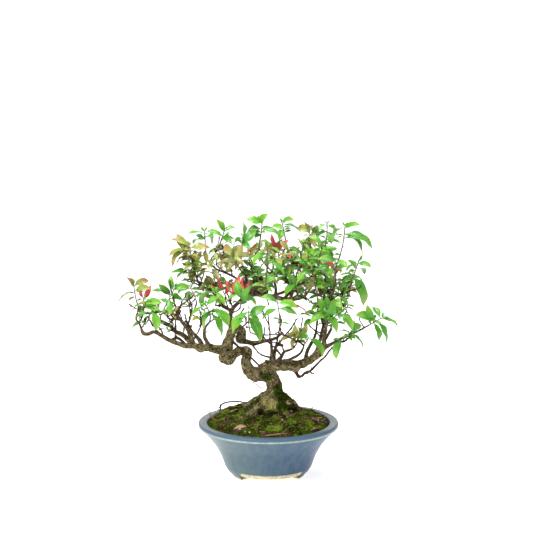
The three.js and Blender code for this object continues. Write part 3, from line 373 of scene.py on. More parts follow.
shootRows = [  # name, colour, seat, and for each stem its tip and how far from it its leaves reach in x and z
    ("left_end", "bronze", [-189, -24, 256],
     [[-194, -30, 289], [-9, 12], [21, 3], [-23, -27], [25, -7], [-7, -23]]),
    ("left_low", "green", [-181, -29, 246], [[-176, -36, 265], [-22, -15], [23, -3], [-18, -6], [21, -13]]),
    ("left_hanging", "green", [-171, -45, 245], [[-165, -52, 255], [4, -30], [-21, -17], [16, -7]]),
    ("left_middle", "green", [-161, 26, 233], [[-139, 16, 276], [23, 0], [-5, 19], [-35, -4], [-24, 7]]),
    ("left_broad", "green", [-146, -30, 241], [[-141, -40, 272], [0, -25], [17, -8], [-17, -7]]),
    ("upper_left", "bronze", [-110, -20, 314],
     [[-113, -25, 344], [-28, 9], [29, -3], [-21, 17], [-20, -27], [14, -21]],
     [[-121, -30, 340], [-23, -12], [-17, -26]]),
    ("upper_left_tall", "green", [-91, 0, 327], [[-93, -4, 363], [-29, -7], [10, -21], [-17, -21], [15, -7]]),
    ("upper_left_low", "green", [-107, -12, 288],
     [[-117, -20, 312], [-18, -22], [3, -23], [-26, -6], [17, -3]]),
    ("top_left", "green", [-72, 8, 341], [[-64, 6, 365], [-12, 16], [17, -1], [-27, -3], [11, -20]]),
    ("top_upright", "green", [-41, 18, 327], [[-38, 20, 354], [0, 22], [-14, -19], [23, 9], [11, -19]]),
    ("top_high", "green", [-14, -4, 341],
     [[-9, -10, 378], [9, 13], [-24, 4], [25, -20], [-22, -15], [-11, -23]]),
    ("front_tall", "green", [-5, -68, 288],
     [[-2, -78, 351], [-20, -34], [24, -19], [-10, -46], [25, -45], [-28, -49]]),
    ("top_middle", "green", [26, 32, 342], [[20, 28, 373], [18, 5], [29, -16], [-15, -8], [-4, -25]]),
    ("top_right_young", "bronze", [62, 20, 331], [[60, 16, 362], [-8, 15], [-16, 3], [17, -7], [8, -24]]),
    ("top_right", "green", [83, 0, 340], [[85, -5, 374], [-13, -6], [15, -15], [-16, -25], [6, -29]]),
    ("top_right_end", "green", [100, -28, 322],
     [[109, -38, 374], [21, 3], [-14, -17], [26, -43], [40, -33], [15, -17]]),
    ("right_pale", "green", [72, -58, 318], [[76, -68, 353], [3, -30], [-20, 9], [22, -9], [-14, -18]]),
    ("right_inner", "green", [56, -44, 313], [[57, -50, 335], [16, 4], [-11, -9], [19, -14]],
     [[37, -30, 327], [-16, 7], [11, -9], [-13, -10]]),
    ("top_right_back", "green", [77, 42, 327], [[74, 40, 354], [-8, 13], [12, -7], [-18, -10]]),
    ("right_outer", "green", [122, -8, 288], [[131, -14, 320], [18, -7], [-19, -20], [10, -22], [-17, 4]]),
    ("right_deep", "green", [69, -54, 279], [[62, -64, 319], [-23, -27], [30, -19], [19, 3], [-18, -10]]),
    ("right_drooping", "green", [117, -34, 281],
     [[121, -40, 305], [15, -46], [14, -14], [-11, -37], [-19, -20]]),
    ("right_star", "green", [81, -66, 242],
     [[85, -76, 266], [20, -2], [9, -14], [-15, 10], [-4, 14], [-15, -6]]),
    ("right_front", "green", [82, -80, 231], [[81, -92, 257], [-24, -16], [14, -28], [10, 20]],
     [[102, -78, 256], [16, -26], [-7, 20]]),
    ("right_end", "green", [145, -38, 231], [[163, -44, 243], [24, -15], [-12, 12], [6, -39]],
     [[151, -44, 239], [-10, 23], [-27, 7], [8, -31]]),
    ("right_low", "green", [117, -46, 215], [[118, -58, 224], [17, -26], [16, 7]],
     [[102, -60, 213], [-5, -28]]),
    ("middle_low", "green", [52, -40, 204], [[57, -66, 218], [20, -29], [-13, -7]]),
    ("middle_under", "bronze", [39, -19, 197],
     [[47, -44, 222], [-13, -30], [2, -40], [-32, -15], [9, 13], [-9, 10]]),
    ("front_middle", "green", [16, -92, 237], [[12, -104, 276], [-25, 5], [29, -10], [-21, -27], [28, -20]]),
    ("middle_left", "green", [-40, -56, 260], [[-39, -68, 283], [22, -19], [-23, -17], [-6, 16], [11, 9]]),
    ("yellow", "green", [-76, -30, 260], [[-76, -44, 281], [14, -19], [-14, -13]]),
    ("left_front", "green", [-82, -72, 249], [[-88, -86, 269], [-22, -21], [17, 7]],
     [[-77, -84, 261], [21, -25], [-13, -28], [11, -40]]),
    ("front_hanging", "green", [-26, -84, 230],
     [[-27, -102, 264], [-23, -34], [11, -27], [21, -44], [24, 4]]),
    ("middle_small", "green", [-9, -30, 275], [[-4, -38, 292], [-11, -10], [14, 9], [16, -9]]),
    ("right_narrow", "green", [44, -42, 270], [[41, -56, 297], [-18, -22], [19, 4], [-14, 13]]),
    ("right_cluster", "green", [94, -72, 302], [[93, -84, 330], [16, -8], [-16, 1], [8, -20], [-9, -18]]),
    ("right_olive", "bronze", [54, -24, 268], [[54, -32, 289], [-13, 12], [14, -6], [-16, -12], [13, 12]]),
    ("right_young", "bronze", [113, 10, 257], [[112, 6, 280], [-13, -6], [12, 4], [7, -15], [-10, 10]]),
    ("right_under", "green", [91, -16, 266], [[89, -22, 289], [-15, -4], [14, -15], [9, 10]]),
    ("middle_back", "green", [47, 50, 309], [[52, 48, 337], [18, -9], [-13, 8], [-9, -15], [12, 14]]),
    ("top_inner", "bronze", [8, 40, 312], [[8, 36, 335], [-18, -7], [16, -13], [-13, 13], [13, 13]]),
    ("inner_left", "bronze", [-41, -36, 312], [[-52, -46, 333], [16, -14], [-11, 11], [13, 11], [-4, -20]]),
    ("back_left", "green", [-111, 84, 247], [[-121, 100, 266], [-19, -9], [16, 11], [-6, -25]],
     [[-97, 104, 256], [16, 11], [-9, -22]]),
    ("back_left_high", "green", [-71, 78, 307], [[-77, 96, 326], [-15, -9], [15, 9], [9, -22]],
     [[-56, 98, 313], [12, 16], [-9, -22]]),
    ("back_high", "green", [-10, 96, 310], [[-19, 116, 326], [-16, -9], [16, 9], [6, -25]],
     [[6, 118, 316], [19, 6], [-6, -25]]),
    ("back_right_high", "green", [48, 88, 302], [[43, 108, 321], [-15, -6], [15, 6], [9, -28]],
     [[71, 106, 309], [18, 9], [-6, -28]]),
    ("back_right", "green", [101, 84, 272], [[95, 102, 290], [-15, -13], [18, 6], [6, -31]],
     [[120, 96, 276], [18, 6], [3, -25]]),
    ("back_middle", "green", [-22, 86, 265], [[-35, 108, 274], [-16, -13], [16, 9], [6, -28]],
     [[-7, 112, 276], [19, 6], [-3, -25]]),
    ("red_left", "red", [-182, -14, 253], [[-181, -16, 269], [10, 17], [-5, 16], [8, -19]]),
    ("red_inner_left", "red", [-62, -12, 268], [[-67, -16, 281], [-7, 15], [-15, -1], [10, 12]]),
    ("red_inner", "red", [-54, -22, 264], [[-54, -26, 278], [12, 24], [-6, 16], [10, 1]]),
    ("red_strip", "red", [-31, -30, 272], [[-34, -36, 282], [-1, 21], [8, 9]]),
    ("red_top", "red", [-26, 28, 318], [[-27, 26, 331], [10, 13], [-6, 0], [-4, -20]]),
    ("red_high", "red", [16, 16, 320], [[14, 14, 336], [-10, 22], [16, 13], [7, -13]]),
    ("red_upper_right", "red", [29, 34, 313], [[29, 32, 325], [10, 10], [-10, 1], [6, -13]]),
    ("red_orange", "red", [30, -40, 265], [[32, -48, 260], [24, -13], [1, 13]]),
    ("red_far_right", "red", [98, 24, 285], [[98, 20, 299], [14, 10], [-12, 3], [-5, -9]]),
]
sprays = [{"name": "leaves_" + name, "colour": colour, "seat": seat, "stems": stems}
          for name, colour, seat, *stems in shootRows]


# Materials. Patterns shared by several of them are node groups, and the shader itself stays in each material


class Value:  # what a node gives out, so that a sum of nodes can be written as a sum
    def __init__(self, tree, socket):
        self.tree = tree
        self.socket = socket

    def __add__(self, other):
        return combine(self.tree, "ADD", self, other)

    def __sub__(self, other):
        return combine(self.tree, "SUBTRACT", self, other)

    def __rsub__(self, other):
        return combine(self.tree, "SUBTRACT", other, self)

    def __mul__(self, other):
        return combine(self.tree, "MULTIPLY", self, other)

    def __abs__(self):
        return combine(self.tree, "ABSOLUTE", self)


def feed(tree, socket, value):  # a link when the value comes from another node, else a fixed value
    if isinstance(value, Value):
        tree.links.new(value.socket, socket)
    elif isinstance(value, tuple) and len(value) == 3 and socket.type == "RGBA":
        socket.default_value = (*value, 1)
    else:
        socket.default_value = value


def feedAll(tree, made, inputs):
    for name, value in inputs.items():
        feed(tree, made.inputs[name], value)


def outputsOf(tree, made):
    return {socket.name: Value(tree, socket) for socket in made.outputs}


def addNode(tree, kind, **inputs):
    made = tree.nodes.new("ShaderNode" + kind)
    feedAll(tree, made, inputs)
    return outputsOf(tree, made)


def combine(tree, operation, a, b=0.0):
    made = tree.nodes.new("ShaderNodeMath")
    made.operation = operation
    feed(tree, made.inputs[0], a)
    feed(tree, made.inputs[1], b)
    return Value(tree, made.outputs[0])


def blend(share, first, second):
    return addNode(share.tree, "MixRGB", Fac=share, Color1=first, Color2=second)["Color"]


def layered(colour, look, layers):  # further colours of a look, each laid on by its share
    for share, tone in layers:
        colour = blend(share, colour, look[tone])
    return colour


def ease(value, low, high):  # 0 below low, 1 above high
    made = value.tree.nodes.new("ShaderNodeMapRange")
    made.interpolation_type = "SMOOTHSTEP"
    feedAll(value.tree, made, {"From Min": low, "From Max": high, "Value": value})
    return Value(value.tree, made.outputs["Result"])


def painted(tree, name):  # a value that the modelling code stored on the mesh
    made = tree.nodes.new("ShaderNodeAttribute")
    made.attribute_name = name
    return Value(tree, made.outputs["Fac"])


def distanceTo(where, point):
    made = where.tree.nodes.new("ShaderNodeVectorMath")
    made.operation = "DISTANCE"
    feed(where.tree, made.inputs[0], where)
    made.inputs[1].default_value = tuple(place(point))
    return Value(where.tree, made.outputs["Value"])


def rampOf(value, tones):
    made = value.tree.nodes.new("ShaderNodeValToRGB")
    feed(value.tree, made.inputs["Fac"], value)
    elements = made.color_ramp.elements
    while len(elements) < len(tones):
        elements.new(0.5)
    for element, (position, colour) in zip(elements, tones):
        element.position = position
        element.color = (*colour, 1)
    return Value(value.tree, made.outputs["Color"])


def newGroup(name, inputs, outputs):
    group = bpy.data.node_groups.new(name, "ShaderNodeTree")
    for way, sockets in (("INPUT", inputs), ("OUTPUT", outputs)):
        for label, kind in sockets.items():
            group.interface.new_socket(label, in_out=way, socket_type="NodeSocket" + kind)
    entry = group.nodes.new("NodeGroupInput")
    leave = group.nodes.new("NodeGroupOutput")
    return group, {label: Value(group, entry.outputs[label]) for label in inputs}, leave


def useGroup(tree, group, **inputs):
    made = tree.nodes.new("ShaderNodeGroup")
    made.node_tree = group
    feedAll(tree, made, inputs)
    return outputsOf(tree, made)


def blotch(where, name, output="Mask"):
    size, low, high = patterns[name]
    return useGroup(where.tree, blotches, Vector=where, Size=size, Low=low, High=high)[output]


def mossTone(where, tone):
    return useGroup(where.tree, mossColour, Vector=where, Tone=tone)["Color"]


def fineNoise(where, name):
    scale, detail = fineNoises[name]
    return addNode(where.tree, "TexNoise", Vector=where, Scale=scale, Detail=detail, Roughness=0.7)["Fac"]


def stretched(where, **mapping):
    return addNode(where.tree, "Mapping", Vector=where, **mapping)["Vector"]


def blotchGroup():  # soft irregular patches of any size
    group, given, result = newGroup(
        "blotches", {"Vector": "Vector", "Size": "Float", "Low": "Float", "High": "Float"},
        {"Mask": "Float", "Noise": "Float"})
    scale = combine(group, "DIVIDE", 1.0, given["Size"])
    cloud = addNode(group, "TexNoise", Vector=given["Vector"], Scale=scale, Detail=4.0, Roughness=0.6)["Fac"]
    feedAll(group, result, {"Mask": ease(cloud, given["Low"], given["High"]), "Noise": cloud})
    return group


def veinGroup():  # midrib and side veins of a leaf from its own map
    group, given, result = newGroup("leafVeins", {"Map": "Vector"}, {"Midrib": "Float", "Veins": "Float"})
    parts = addNode(group, "SeparateXYZ", Vector=given["Map"])
    aside = abs(parts["X"] - 0.5) * 2.0
    slant = parts["Y"] * leafLook["veinPairs"] - aside * leafLook["veinSlant"]
    stripe = abs(combine(group, "SINE", slant * math.pi))
    feedAll(group, result, {"Midrib": 1.0 - ease(aside, 0.04, 0.14), "Veins": 1.0 - ease(stripe, 0.0, 0.28)})
    return group


def mossGroup():  # moss colours from deep gaps to bright tips
    group, given, result = newGroup("mossColour", {"Vector": "Vector", "Tone": "Float"}, {"Color": "Color"})
    large = blotch(given["Vector"], "mossClumps")
    small = blotch(given["Vector"], "mossSpecks")
    lit = given["Tone"] * 0.7 + large * 0.26 + (small - 0.55) * 0.46
    steps = zip((0.0, 0.35, 0.68, 1.0), mossLook.values())
    feedAll(group, result, {"Color": rampOf(lit, list(steps))})
    return group


def newMaterial(name, roughness, constants):
    material = bpy.data.materials.new(name)
    material.use_nodes = True
    tree = material.node_tree
    shader = tree.nodes["Principled BSDF"]
    feedAll(tree, shader, {"Roughness": roughness, **constants})
    return material, tree, shader, Value(tree, tree.nodes.new("ShaderNodeTexCoord").outputs["Object"])


def bumpBy(shader, height, strength, distance):
    bump = addNode(height.tree, "Bump", Height=height, Strength=strength, Distance=distance)
    feedAll(height.tree, shader, {"Normal": bump["Normal"]})


# size in metres, and the values of the noise between which the mask goes from 0 to 1
patterns = {
    "mossClumps": (0.016, 0.35, 0.65), "mossSpecks": (0.0026, 0.36, 0.64), "barkPatches": (0.006, 0.35, 0.66),
    "barkSpecks": (0.0016, 0.4, 0.62), "barkCracks": (0.0065, 0.3, 0.7), "lichen": (0.0042, 0.6, 0.66),
    "strands": (0.0024, 0.42, 0.6), "stemPatches": (0.005, 0.4, 0.62), "leafMottle": (0.007, 0.4, 0.68),
    "soilCrumbs": (0.0022, 0.35, 0.65), "glazeClouds": (0.06, 0.3, 0.7), "glazeStreaks": (0.007, 0.3, 0.75),
    "clayCrumbs": (0.004, 0.35, 0.7), "litterPatches": (0.003, 0.35, 0.65),
}
fineNoises = {"bark": (900.0, 6.0), "soil": (1100.0, 5.0)}  # scale and detail
mossLook = {"gap": (0.015, 0.01, 0.003), "deep": (0.024, 0.032, 0.002), "green": (0.06, 0.11, 0.004),
            "bright": (0.2, 0.35, 0.01)}
# bark colours; the darkest is for cracks and also for the painted shade in the trunk's hollows
barkLook = {
    "crackAndShade": (0.018, 0.014, 0.007), "middle": (0.155, 0.122, 0.052), "pale": (0.44, 0.375, 0.19),
    "thinDark": (0.018, 0.011, 0.006), "thinPale": (0.125, 0.078, 0.045), "lichen": (0.27, 0.27, 0.14),
    "fibre": (0.64, 0.6, 0.18), "fibreDark": (0.22, 0.2, 0.055),
    "cut": (0.46, 0.37, 0.18), "cutEdge": (0.2, 0.13, 0.07),
}
leafLook = {"veinPairs": 11.0, "veinSlant": 1.9}
leafLooks = {
    "green": {"dark": (0.014, 0.105, 0.003), "middle": (0.042, 0.255, 0.006), "pale": (0.14, 0.4, 0.015),
              "tint": (0.24, 0.4, 0.03), "under": (0.12, 0.31, 0.05), "rib": (0.16, 0.4, 0.05),
              "roughness": 0.38},
    "bronze": {"dark": (0.12, 0.14, 0.02), "middle": (0.22, 0.23, 0.035), "pale": (0.25, 0.38, 0.04),
               "tint": (0.4, 0.14, 0.08), "under": (0.3, 0.22, 0.1), "rib": (0.26, 0.24, 0.06),
               "roughness": 0.42},
    "red": {"dark": (0.36, 0.004, 0.012), "middle": (0.56, 0.012, 0.03), "pale": (0.66, 0.06, 0.06),
            "tint": (0.62, 0.12, 0.09), "under": (0.6, 0.14, 0.12), "rib": (0.66, 0.15, 0.12),
            "roughness": 0.45},
}
# glaze colours: the paler, greyer tone is painted light on the pot's lit left, the deeper tone is painted
# shade on its right, and the near-black one is painted shade in the pinhole
glazeLook = {
    "litTeal": (0.082, 0.13, 0.146), "shadedBlue": (0.034, 0.076, 0.134), "band": (0.07, 0.115, 0.175),
    "lip": (0.265, 0.275, 0.285), "line": (0.33, 0.42, 0.35), "clay": (0.66, 0.59, 0.4),
    "clayDark": (0.36, 0.29, 0.15), "pinholeShade": (0.03, 0.03, 0.035),
}
# place and size of a pinhole in the glaze, drawn only as a dot of painted shade
pinhole = {"place": (-31, -53, 26), "size": 1.3}


def makeBark():
    material, tree, shader, where = newMaterial("bark", 0.92, {"Specular IOR Level": 0.1})
    thickness = painted(tree, "thickness")
    patches = blotch(where, "barkPatches")
    specks = blotch(where, "barkSpecks")
    # the grain attribute is lowered in the trunk's hollows, so there the dark low end of this ramp is painted
    # shade
    ridge = painted(tree, "grain") * 0.85 + patches * 0.42 + specks * 0.5 - 0.32
    thickTone = rampOf(ridge, [(0.14, barkLook["crackAndShade"]), (0.56, barkLook["middle"]),
                               (1.0, barkLook["pale"])])
    thinTone = blend(ridge, barkLook["thinDark"], barkLook["thinPale"])
    colour = blend(ease(thickness, 1.6, 5.5), thinTone, thickTone)
    network = abs(blotch(where, "barkCracks", "Noise") - 0.5)
    cracks = (1.0 - ease(network, 0.004, 0.035)) * ease(thickness, 2.5, 6.0)
    lichen = blotch(where, "lichen") * ease(thickness, 3.5, 7.0)
    colour = layered(colour, barkLook, [(cracks * 0.6, "crackAndShade"), (lichen * 0.6, "lichen")])
    strands = blotch(stretched(where, Rotation=(0.0, 0.5, 0.0), Scale=(1.0, 1.0, 0.2)), "strands")
    fibreTone = blend(strands, barkLook["fibreDark"], barkLook["fibre"])
    colour = blend(painted(tree, "fibre") * 0.9, colour, fibreTone)
    colour = blend(painted(tree, "cut"), colour, blend(specks, barkLook["cutEdge"], barkLook["cut"]))
    mossy = painted(tree, "moss") + (patches - 0.5) * 0.5
    colour = blend(ease(mossy, 0.35, 0.62), colour, mossTone(where, ridge * 0.7))
    feedAll(tree, shader, {"Base Color": colour})
    bumpBy(shader, fineNoise(where, "bark") + specks * 0.7, 0.9, 0.001)
    return material


def makeStem():
    material, tree, shader, where = newMaterial("youngStem", 0.55, {})
    patches = blotch(where, "stemPatches")
    feedAll(tree, shader, {"Base Color": blend(patches, (0.085, 0.028, 0.018), (0.2, 0.09, 0.045))})
    bumpBy(shader, patches, 0.3, 0.0003)
    return material


def makeLeaf(name, look):
    material, tree, shader, where = newMaterial(name, look["roughness"], {"Coat Roughness": 0.25})
    ownMap = tree.nodes.new("ShaderNodeUVMap")
    ownMap.uv_map = "leafMap"
    leafMap = Value(tree, ownMap.outputs["UV"])
    veins = useGroup(tree, leafVeins, Map=leafMap)
    young = painted(tree, "young")
    underside = painted(tree, "underside")
    mottle = blotch(where, "leafMottle")
    tipShare = ease(addNode(tree, "SeparateXYZ", Vector=leafMap)["Y"], 0.35, 1.0) * young
    colour = rampOf(painted(tree, "tone") + young * 0.3,
                    [(0.05, look["dark"]), (0.5, look["middle"]), (1.0, look["pale"])])
    colour = layered(colour, look, [
        (mottle * 0.25, "pale"), (tipShare * 0.8, "tint"), (veins["Veins"] * 0.22, "rib"),
        (veins["Midrib"] * 0.55, "rib"), (underside * 0.8, "under")])
    feedAll(tree, shader, {"Base Color": colour, "Coat Weight": 0.16 - underside * 0.14,
                           "Roughness": mottle * 0.14 + (look["roughness"] - 0.06)})
    bumpBy(shader, mottle * 0.3 - (veins["Midrib"] + veins["Veins"] * 0.6), 0.55, 0.0005)
    return material


def makeMoss():
    material, tree, shader, where = newMaterial("moss", 0.95, {"Specular IOR Level": 0.05})
    feedAll(tree, shader, {"Base Color": mossTone(where, painted(tree, "tone"))})
    return material


def makeSoil():
    material, tree, shader, where = newMaterial("mossySoil", 0.97, {"Specular IOR Level": 0.05})
    earth = blend(blotch(where, "soilCrumbs"), (0.014, 0.01, 0.004), (0.11, 0.068, 0.028))
    colour = blend(painted(tree, "cover"), earth, mossTone(where, painted(tree, "tone")))
    feedAll(tree, shader, {"Base Color": colour})
    bumpBy(shader, fineNoise(where, "soil"), 0.9, 0.0012)
    return material


def makeGlaze():
    constants = {"Coat Roughness": 0.15, "Specular IOR Level": 0.12}
    material, tree, shader, where = newMaterial("glaze", 0.24, constants)
    acrossPot = addNode(tree, "SeparateXYZ", Vector=where)["X"]
    clouds = blotch(where, "glazeClouds", "Noise")
    streaks = blotch(stretched(where, Scale=(1.0, 1.0, 0.16)), "glazeStreaks")
    # from the pot's left to its right the glaze goes from paler and greyer, painted light, to deeper and
    # bluer, painted shade, with cloudy changes of its own
    shadedBlueShare = ease(acrossPot, -0.07, 0.09) + (clouds - 0.5) * 0.9
    # the pinhole is not cut into the mesh; its near-black dot is painted shade
    pinholeShade = 1.0 - ease(distanceTo(where, pinhole["place"]), 0.5 * pinhole["size"] * mm, pinhole["size"] * mm)
    colour = layered(blend(shadedBlueShare, glazeLook["litTeal"], glazeLook["shadedBlue"]), glazeLook, [
        (streaks * 0.16, "lip"), (painted(tree, "lip") * 0.8, "lip"), (painted(tree, "band"), "band"),
        (painted(tree, "paleLine") * (streaks * 0.5 + 0.6), "line"), (pinholeShade * 0.9, "pinholeShade")])
    bare = painted(tree, "bare")
    crumbs = blotch(where, "clayCrumbs")
    colour = blend(bare, colour, blend(crumbs, glazeLook["clay"], glazeLook["clayDark"]))
    feedAll(tree, shader, {"Base Color": colour, "Roughness": bare * 0.6 + 0.34,
                           "Coat Weight": (1.0 - bare) * 0.06})
    bumpBy(shader, crumbs * (bare * 0.8) + streaks * 0.25, 0.35, 0.0006)
    return material


def makeLitter(name, dark, light, roughness):
    material, tree, shader, where = newMaterial(name, roughness, {"Specular IOR Level": 0.3})
    patches = blotch(where, "litterPatches")
    feedAll(tree, shader, {"Base Color": blend(patches * 0.5 + painted(tree, "tone") * 0.5, dark, light)})
    bumpBy(shader, patches, 0.5, 0.0004)
    return material


blotches = blotchGroup()
leafVeins = veinGroup()
mossColour = mossGroup()
barkMaterial = makeBark()
stemMaterial = makeStem()
leafMaterials = {colour: makeLeaf(colour + "Leaf", look) for colour, look in leafLooks.items()}
mossMaterial = makeMoss()
soilMaterial = makeSoil()
glazeMaterial = makeGlaze()
strawMaterial = makeLitter("straw", (0.085, 0.045, 0.018), (0.42, 0.3, 0.14), 0.8)
chipMaterial = makeLitter("paleChips", (0.45, 0.36, 0.25), (0.75, 0.68, 0.55), 0.75)
deadLeafMaterial = makeLitter("deadLeaf", (0.13, 0.06, 0.03), (0.55, 0.34, 0.25), 0.7)
print("materials made")


# Pot: a spun bowl under a flat lip, with three feet drawn down from its underside

potForm = {
    "steps": 120, "footAngles": [209, 340, 94], "footHalfAngle": 16.6, "footBand": (45, 62.9),
    "footBelow": 10.5, "footMiddle": 54, "fineStep": 1.1, "fineBelow": 17, "fineRadii": (62, 68),
    "underside": [[9, 11.5], [9, 7], [30, 7], [46, 7], [52, 7.1], [57, 7.5], [60.2, 8.2]],
    "wall": [[62.6, 10.6], [65, 14.9], [67.8, 22.5], [73, 35], [80.5, 48], [89, 58.6], [96, 66.4],
             [101, 71.9]],
    "lip": [[102.4, 72.6], [103.5, 73.2], [104.1, 74.3], [104.2, 75.4], [103.9, 76.2], [104, 77.4],
            [103.6, 78.6], [102.9, 79.4], [102, 79.8], [98, 79.9], [94, 79.7], [92.2, 79.3], [91.2, 78.5],
            [90.8, 77.2]],
    "inside": [[88.6, 68], [82, 56], [73, 43], [66, 27], [61, 15], [57.5, 11.5], [9, 11.5]],
    "footSteps": [[-2.8, 0.95, -1.2], [-2.8, 0.88, -2.6], [-2.4, 0.9, -2.4]],
    "clayEdge": 14.2, "glazedDown": [[199, 27], [346, 22], [94, 17]],  # bearing and half width over each foot
}
glazePaint = {  # heights and radii of what the glaze shows, and the bearing of the lip's front, which is painted dark as a painted reflection
    "lipHeight": 79.2, "lipRadii": (91, 102.5), "bandRadius": 102.6, "bandLow": (75.4, 76.2),
    "bandHigh": (79.2, 79.7), "lineRadius": 101.8, "lineLow": (72.6, 73.3), "lineHigh": (75, 75.8),
    "frontBearing": 275, "frontReach": (25, 62),
}


def curveThrough(rows, parts):  # more rows on a smooth curve through the given ones
    rows = np.array(rows, float)
    padded = np.vstack([2 * rows[0] - rows[1], rows, 2 * rows[-1] - rows[-2]])
    result = []
    for i in range(len(rows) - 1):
        a, b, c, d = padded[i:i + 4]
        for k in range(parts):
            t = k / parts
            result.append(0.5 * (2 * b + (c - a) * t + (2 * a - 5 * b + 4 * c - d) * t ** 2
                                 + (3 * b - a - 3 * c + d) * t ** 3))
    return [list(row) for row in [*result, rows[-1]]]


def spunBody(name, rows, steps):  # rows of radius and height, drawn as an edge and spun about the pot's axis
    deselectAll()
    bpy.ops.mesh.primitive_plane_add(size=mm, location=(0, 0, 0))
    body = bpy.context.object
    body.name = name
    bpy.ops.object.mode_set(mode="EDIT")
    bpy.ops.mesh.select_mode(type="VERT")
    bpy.ops.mesh.select_all(action="SELECT")
    bpy.ops.mesh.merge(type="CENTER")
    bpy.ops.transform.translate(value=(rows[0][0] * mm, 0, rows[0][1] * mm))
    for (r0, z0), (r1, z1) in zip(rows, rows[1:]):
        shift = ((r1 - r0) * mm, 0, (z1 - z0) * mm)
        bpy.ops.mesh.extrude_region_move(TRANSFORM_OT_translate={"value": shift})
    bpy.ops.mesh.select_all(action="SELECT")
    bpy.ops.mesh.spin(steps=steps, angle=2 * math.pi, center=(0, 0, 0), axis=(0, 0, 1))
    bpy.ops.mesh.select_all(action="SELECT")
    bpy.ops.mesh.remove_doubles(threshold=0.01 * mm)
    bpy.ops.mesh.normals_make_consistent(inside=False)
    bpy.ops.object.mode_set(mode="OBJECT")
    return body


def angleFrom(x, y, degrees):  # how far a direction lies from a bearing, in degrees
    return np.abs((np.degrees(np.arctan2(y, x)) - degrees + 180) % 360 - 180)


def drawFoot(pot, degrees):
    makeActive(pot)
    bpy.ops.object.mode_set(mode="EDIT")
    bpy.ops.mesh.select_mode(type="FACE")
    bpy.ops.mesh.select_all(action="DESELECT")
    bpy.ops.object.mode_set(mode="OBJECT")
    for polygon in pot.data.polygons:
        x, y, z = np.array(polygon.center) / mm
        radius = math.hypot(x, y)
        inBand = potForm["footBand"][0] < radius < potForm["footBand"][1] and z < potForm["footBelow"]
        polygon.select = bool(inBand and angleFrom(x, y, degrees) < potForm["footHalfAngle"])
    bearing = math.radians(degrees)
    bpy.ops.object.mode_set(mode="EDIT")
    reach = potForm["footMiddle"]
    for drop, share, inward in potForm["footSteps"]:
        shift = (inward * math.cos(bearing) * mm, inward * math.sin(bearing) * mm, drop * mm)
        bpy.ops.mesh.extrude_region_move(TRANSFORM_OT_translate={"value": shift})
        reach += inward
        middle = (reach * math.cos(bearing) * mm, reach * math.sin(bearing) * mm, 0)
        bpy.ops.transform.resize(value=(share, share, 1), center_override=middle)
    bpy.ops.transform.resize(value=(1, 1, 0), center_override=(0, 0, 0))
    bpy.ops.object.mode_set(mode="OBJECT")


def paintPot(mesh):  # where the lip, its dark band and pale line are, where its front is painted dark as a painted reflection, and where the clay is bare
    co = getCo(mesh) / mm
    x, y, z = co.T
    radius = np.hypot(x, y)
    onFoot = np.zeros(len(co))
    for degrees, reach in potForm["glazedDown"]:
        onFoot = np.maximum(onFoot, 1 - smoothstep(reach, reach + 6, angleFrom(x, y, degrees)))
    edge = potForm["clayEdge"] * (1 - onFoot) - 3 * onFoot + 0.2 * np.sin(np.arctan2(y, x) * 23)
    bare = 1 - smoothstep(edge - 0.5, edge + 0.5, z)
    downward = getNormals(mesh)[:, 2] < -0.75
    inner = radius < 50 - 0.1 * z
    bare = np.maximum(bare, (z < 13) & ((downward & ((onFoot < 0.3) | (z < 0.5))) | inner))
    bare[(z > 11) & (radius < 61.8)] = 1
    setAttribute(mesh, "bare", bare)
    paint = glazePaint
    inner, outer = paint["lipRadii"]
    # the lip's pale glaze fades towards the front, and the dark rim colour is laid there instead: painted
    # reflection
    front = 1 - smoothstep(*paint["frontReach"], angleFrom(x, y, paint["frontBearing"]))
    onLip = (z > paint["lipHeight"]) & (radius > inner) & (radius < outer)
    setAttribute(mesh, "lip", onLip * (1 - 0.95 * front))
    band = smoothstep(*paint["bandLow"], z) * (1 - smoothstep(*paint["bandHigh"], z))
    paintedDarkFront = ((z > paint["lipHeight"] - 0.2) & (radius > inner)) * front * 0.8
    setAttribute(mesh, "band", np.maximum((radius > paint["bandRadius"]) * band, paintedDarkFront))
    line = smoothstep(*paint["lineLow"], z) * (1 - smoothstep(*paint["lineHigh"], z))
    setAttribute(mesh, "paleLine", (radius > paint["lineRadius"]) * line)


def buildPot():
    rows = [*potForm["underside"], *curveThrough(potForm["wall"], 4), *potForm["lip"], *potForm["inside"]]
    fine = []
    inner, outer = potForm["fineRadii"]
    for (r0, z0), (r1, z1) in zip(rows, rows[1:]):  # close rows where the clay's edge crosses the wall
        close = z0 < potForm["fineBelow"] and inner < r0 < outer
        parts = max(math.ceil(abs(z1 - z0) / potForm["fineStep"]), 1) if close else 1
        fine += [[r0 + (r1 - r0) * i / parts, z0 + (z1 - z0) * i / parts] for i in range(parts)]
    pot = spunBody("pot", [*fine, rows[-1]], potForm["steps"])
    for degrees in potForm["footAngles"]:
        drawFoot(pot, degrees)
    makeActive(pot)
    bpy.ops.object.mode_set(mode="EDIT")
    bpy.ops.mesh.select_all(action="SELECT")
    bpy.ops.mesh.normals_make_consistent(inside=False)
    bpy.ops.object.mode_set(mode="OBJECT")
    smoothShade(pot, 40)
    pot.location = potAxis
    paintPot(pot.data)
    settle(pot)
    print("pot", len(pot.data.polygons))
    return registerPiece(pot, "glazedPot", glazeMaterial, "glazed_ceramic", ["pot"])


# Soil: a lumpy dome under moss

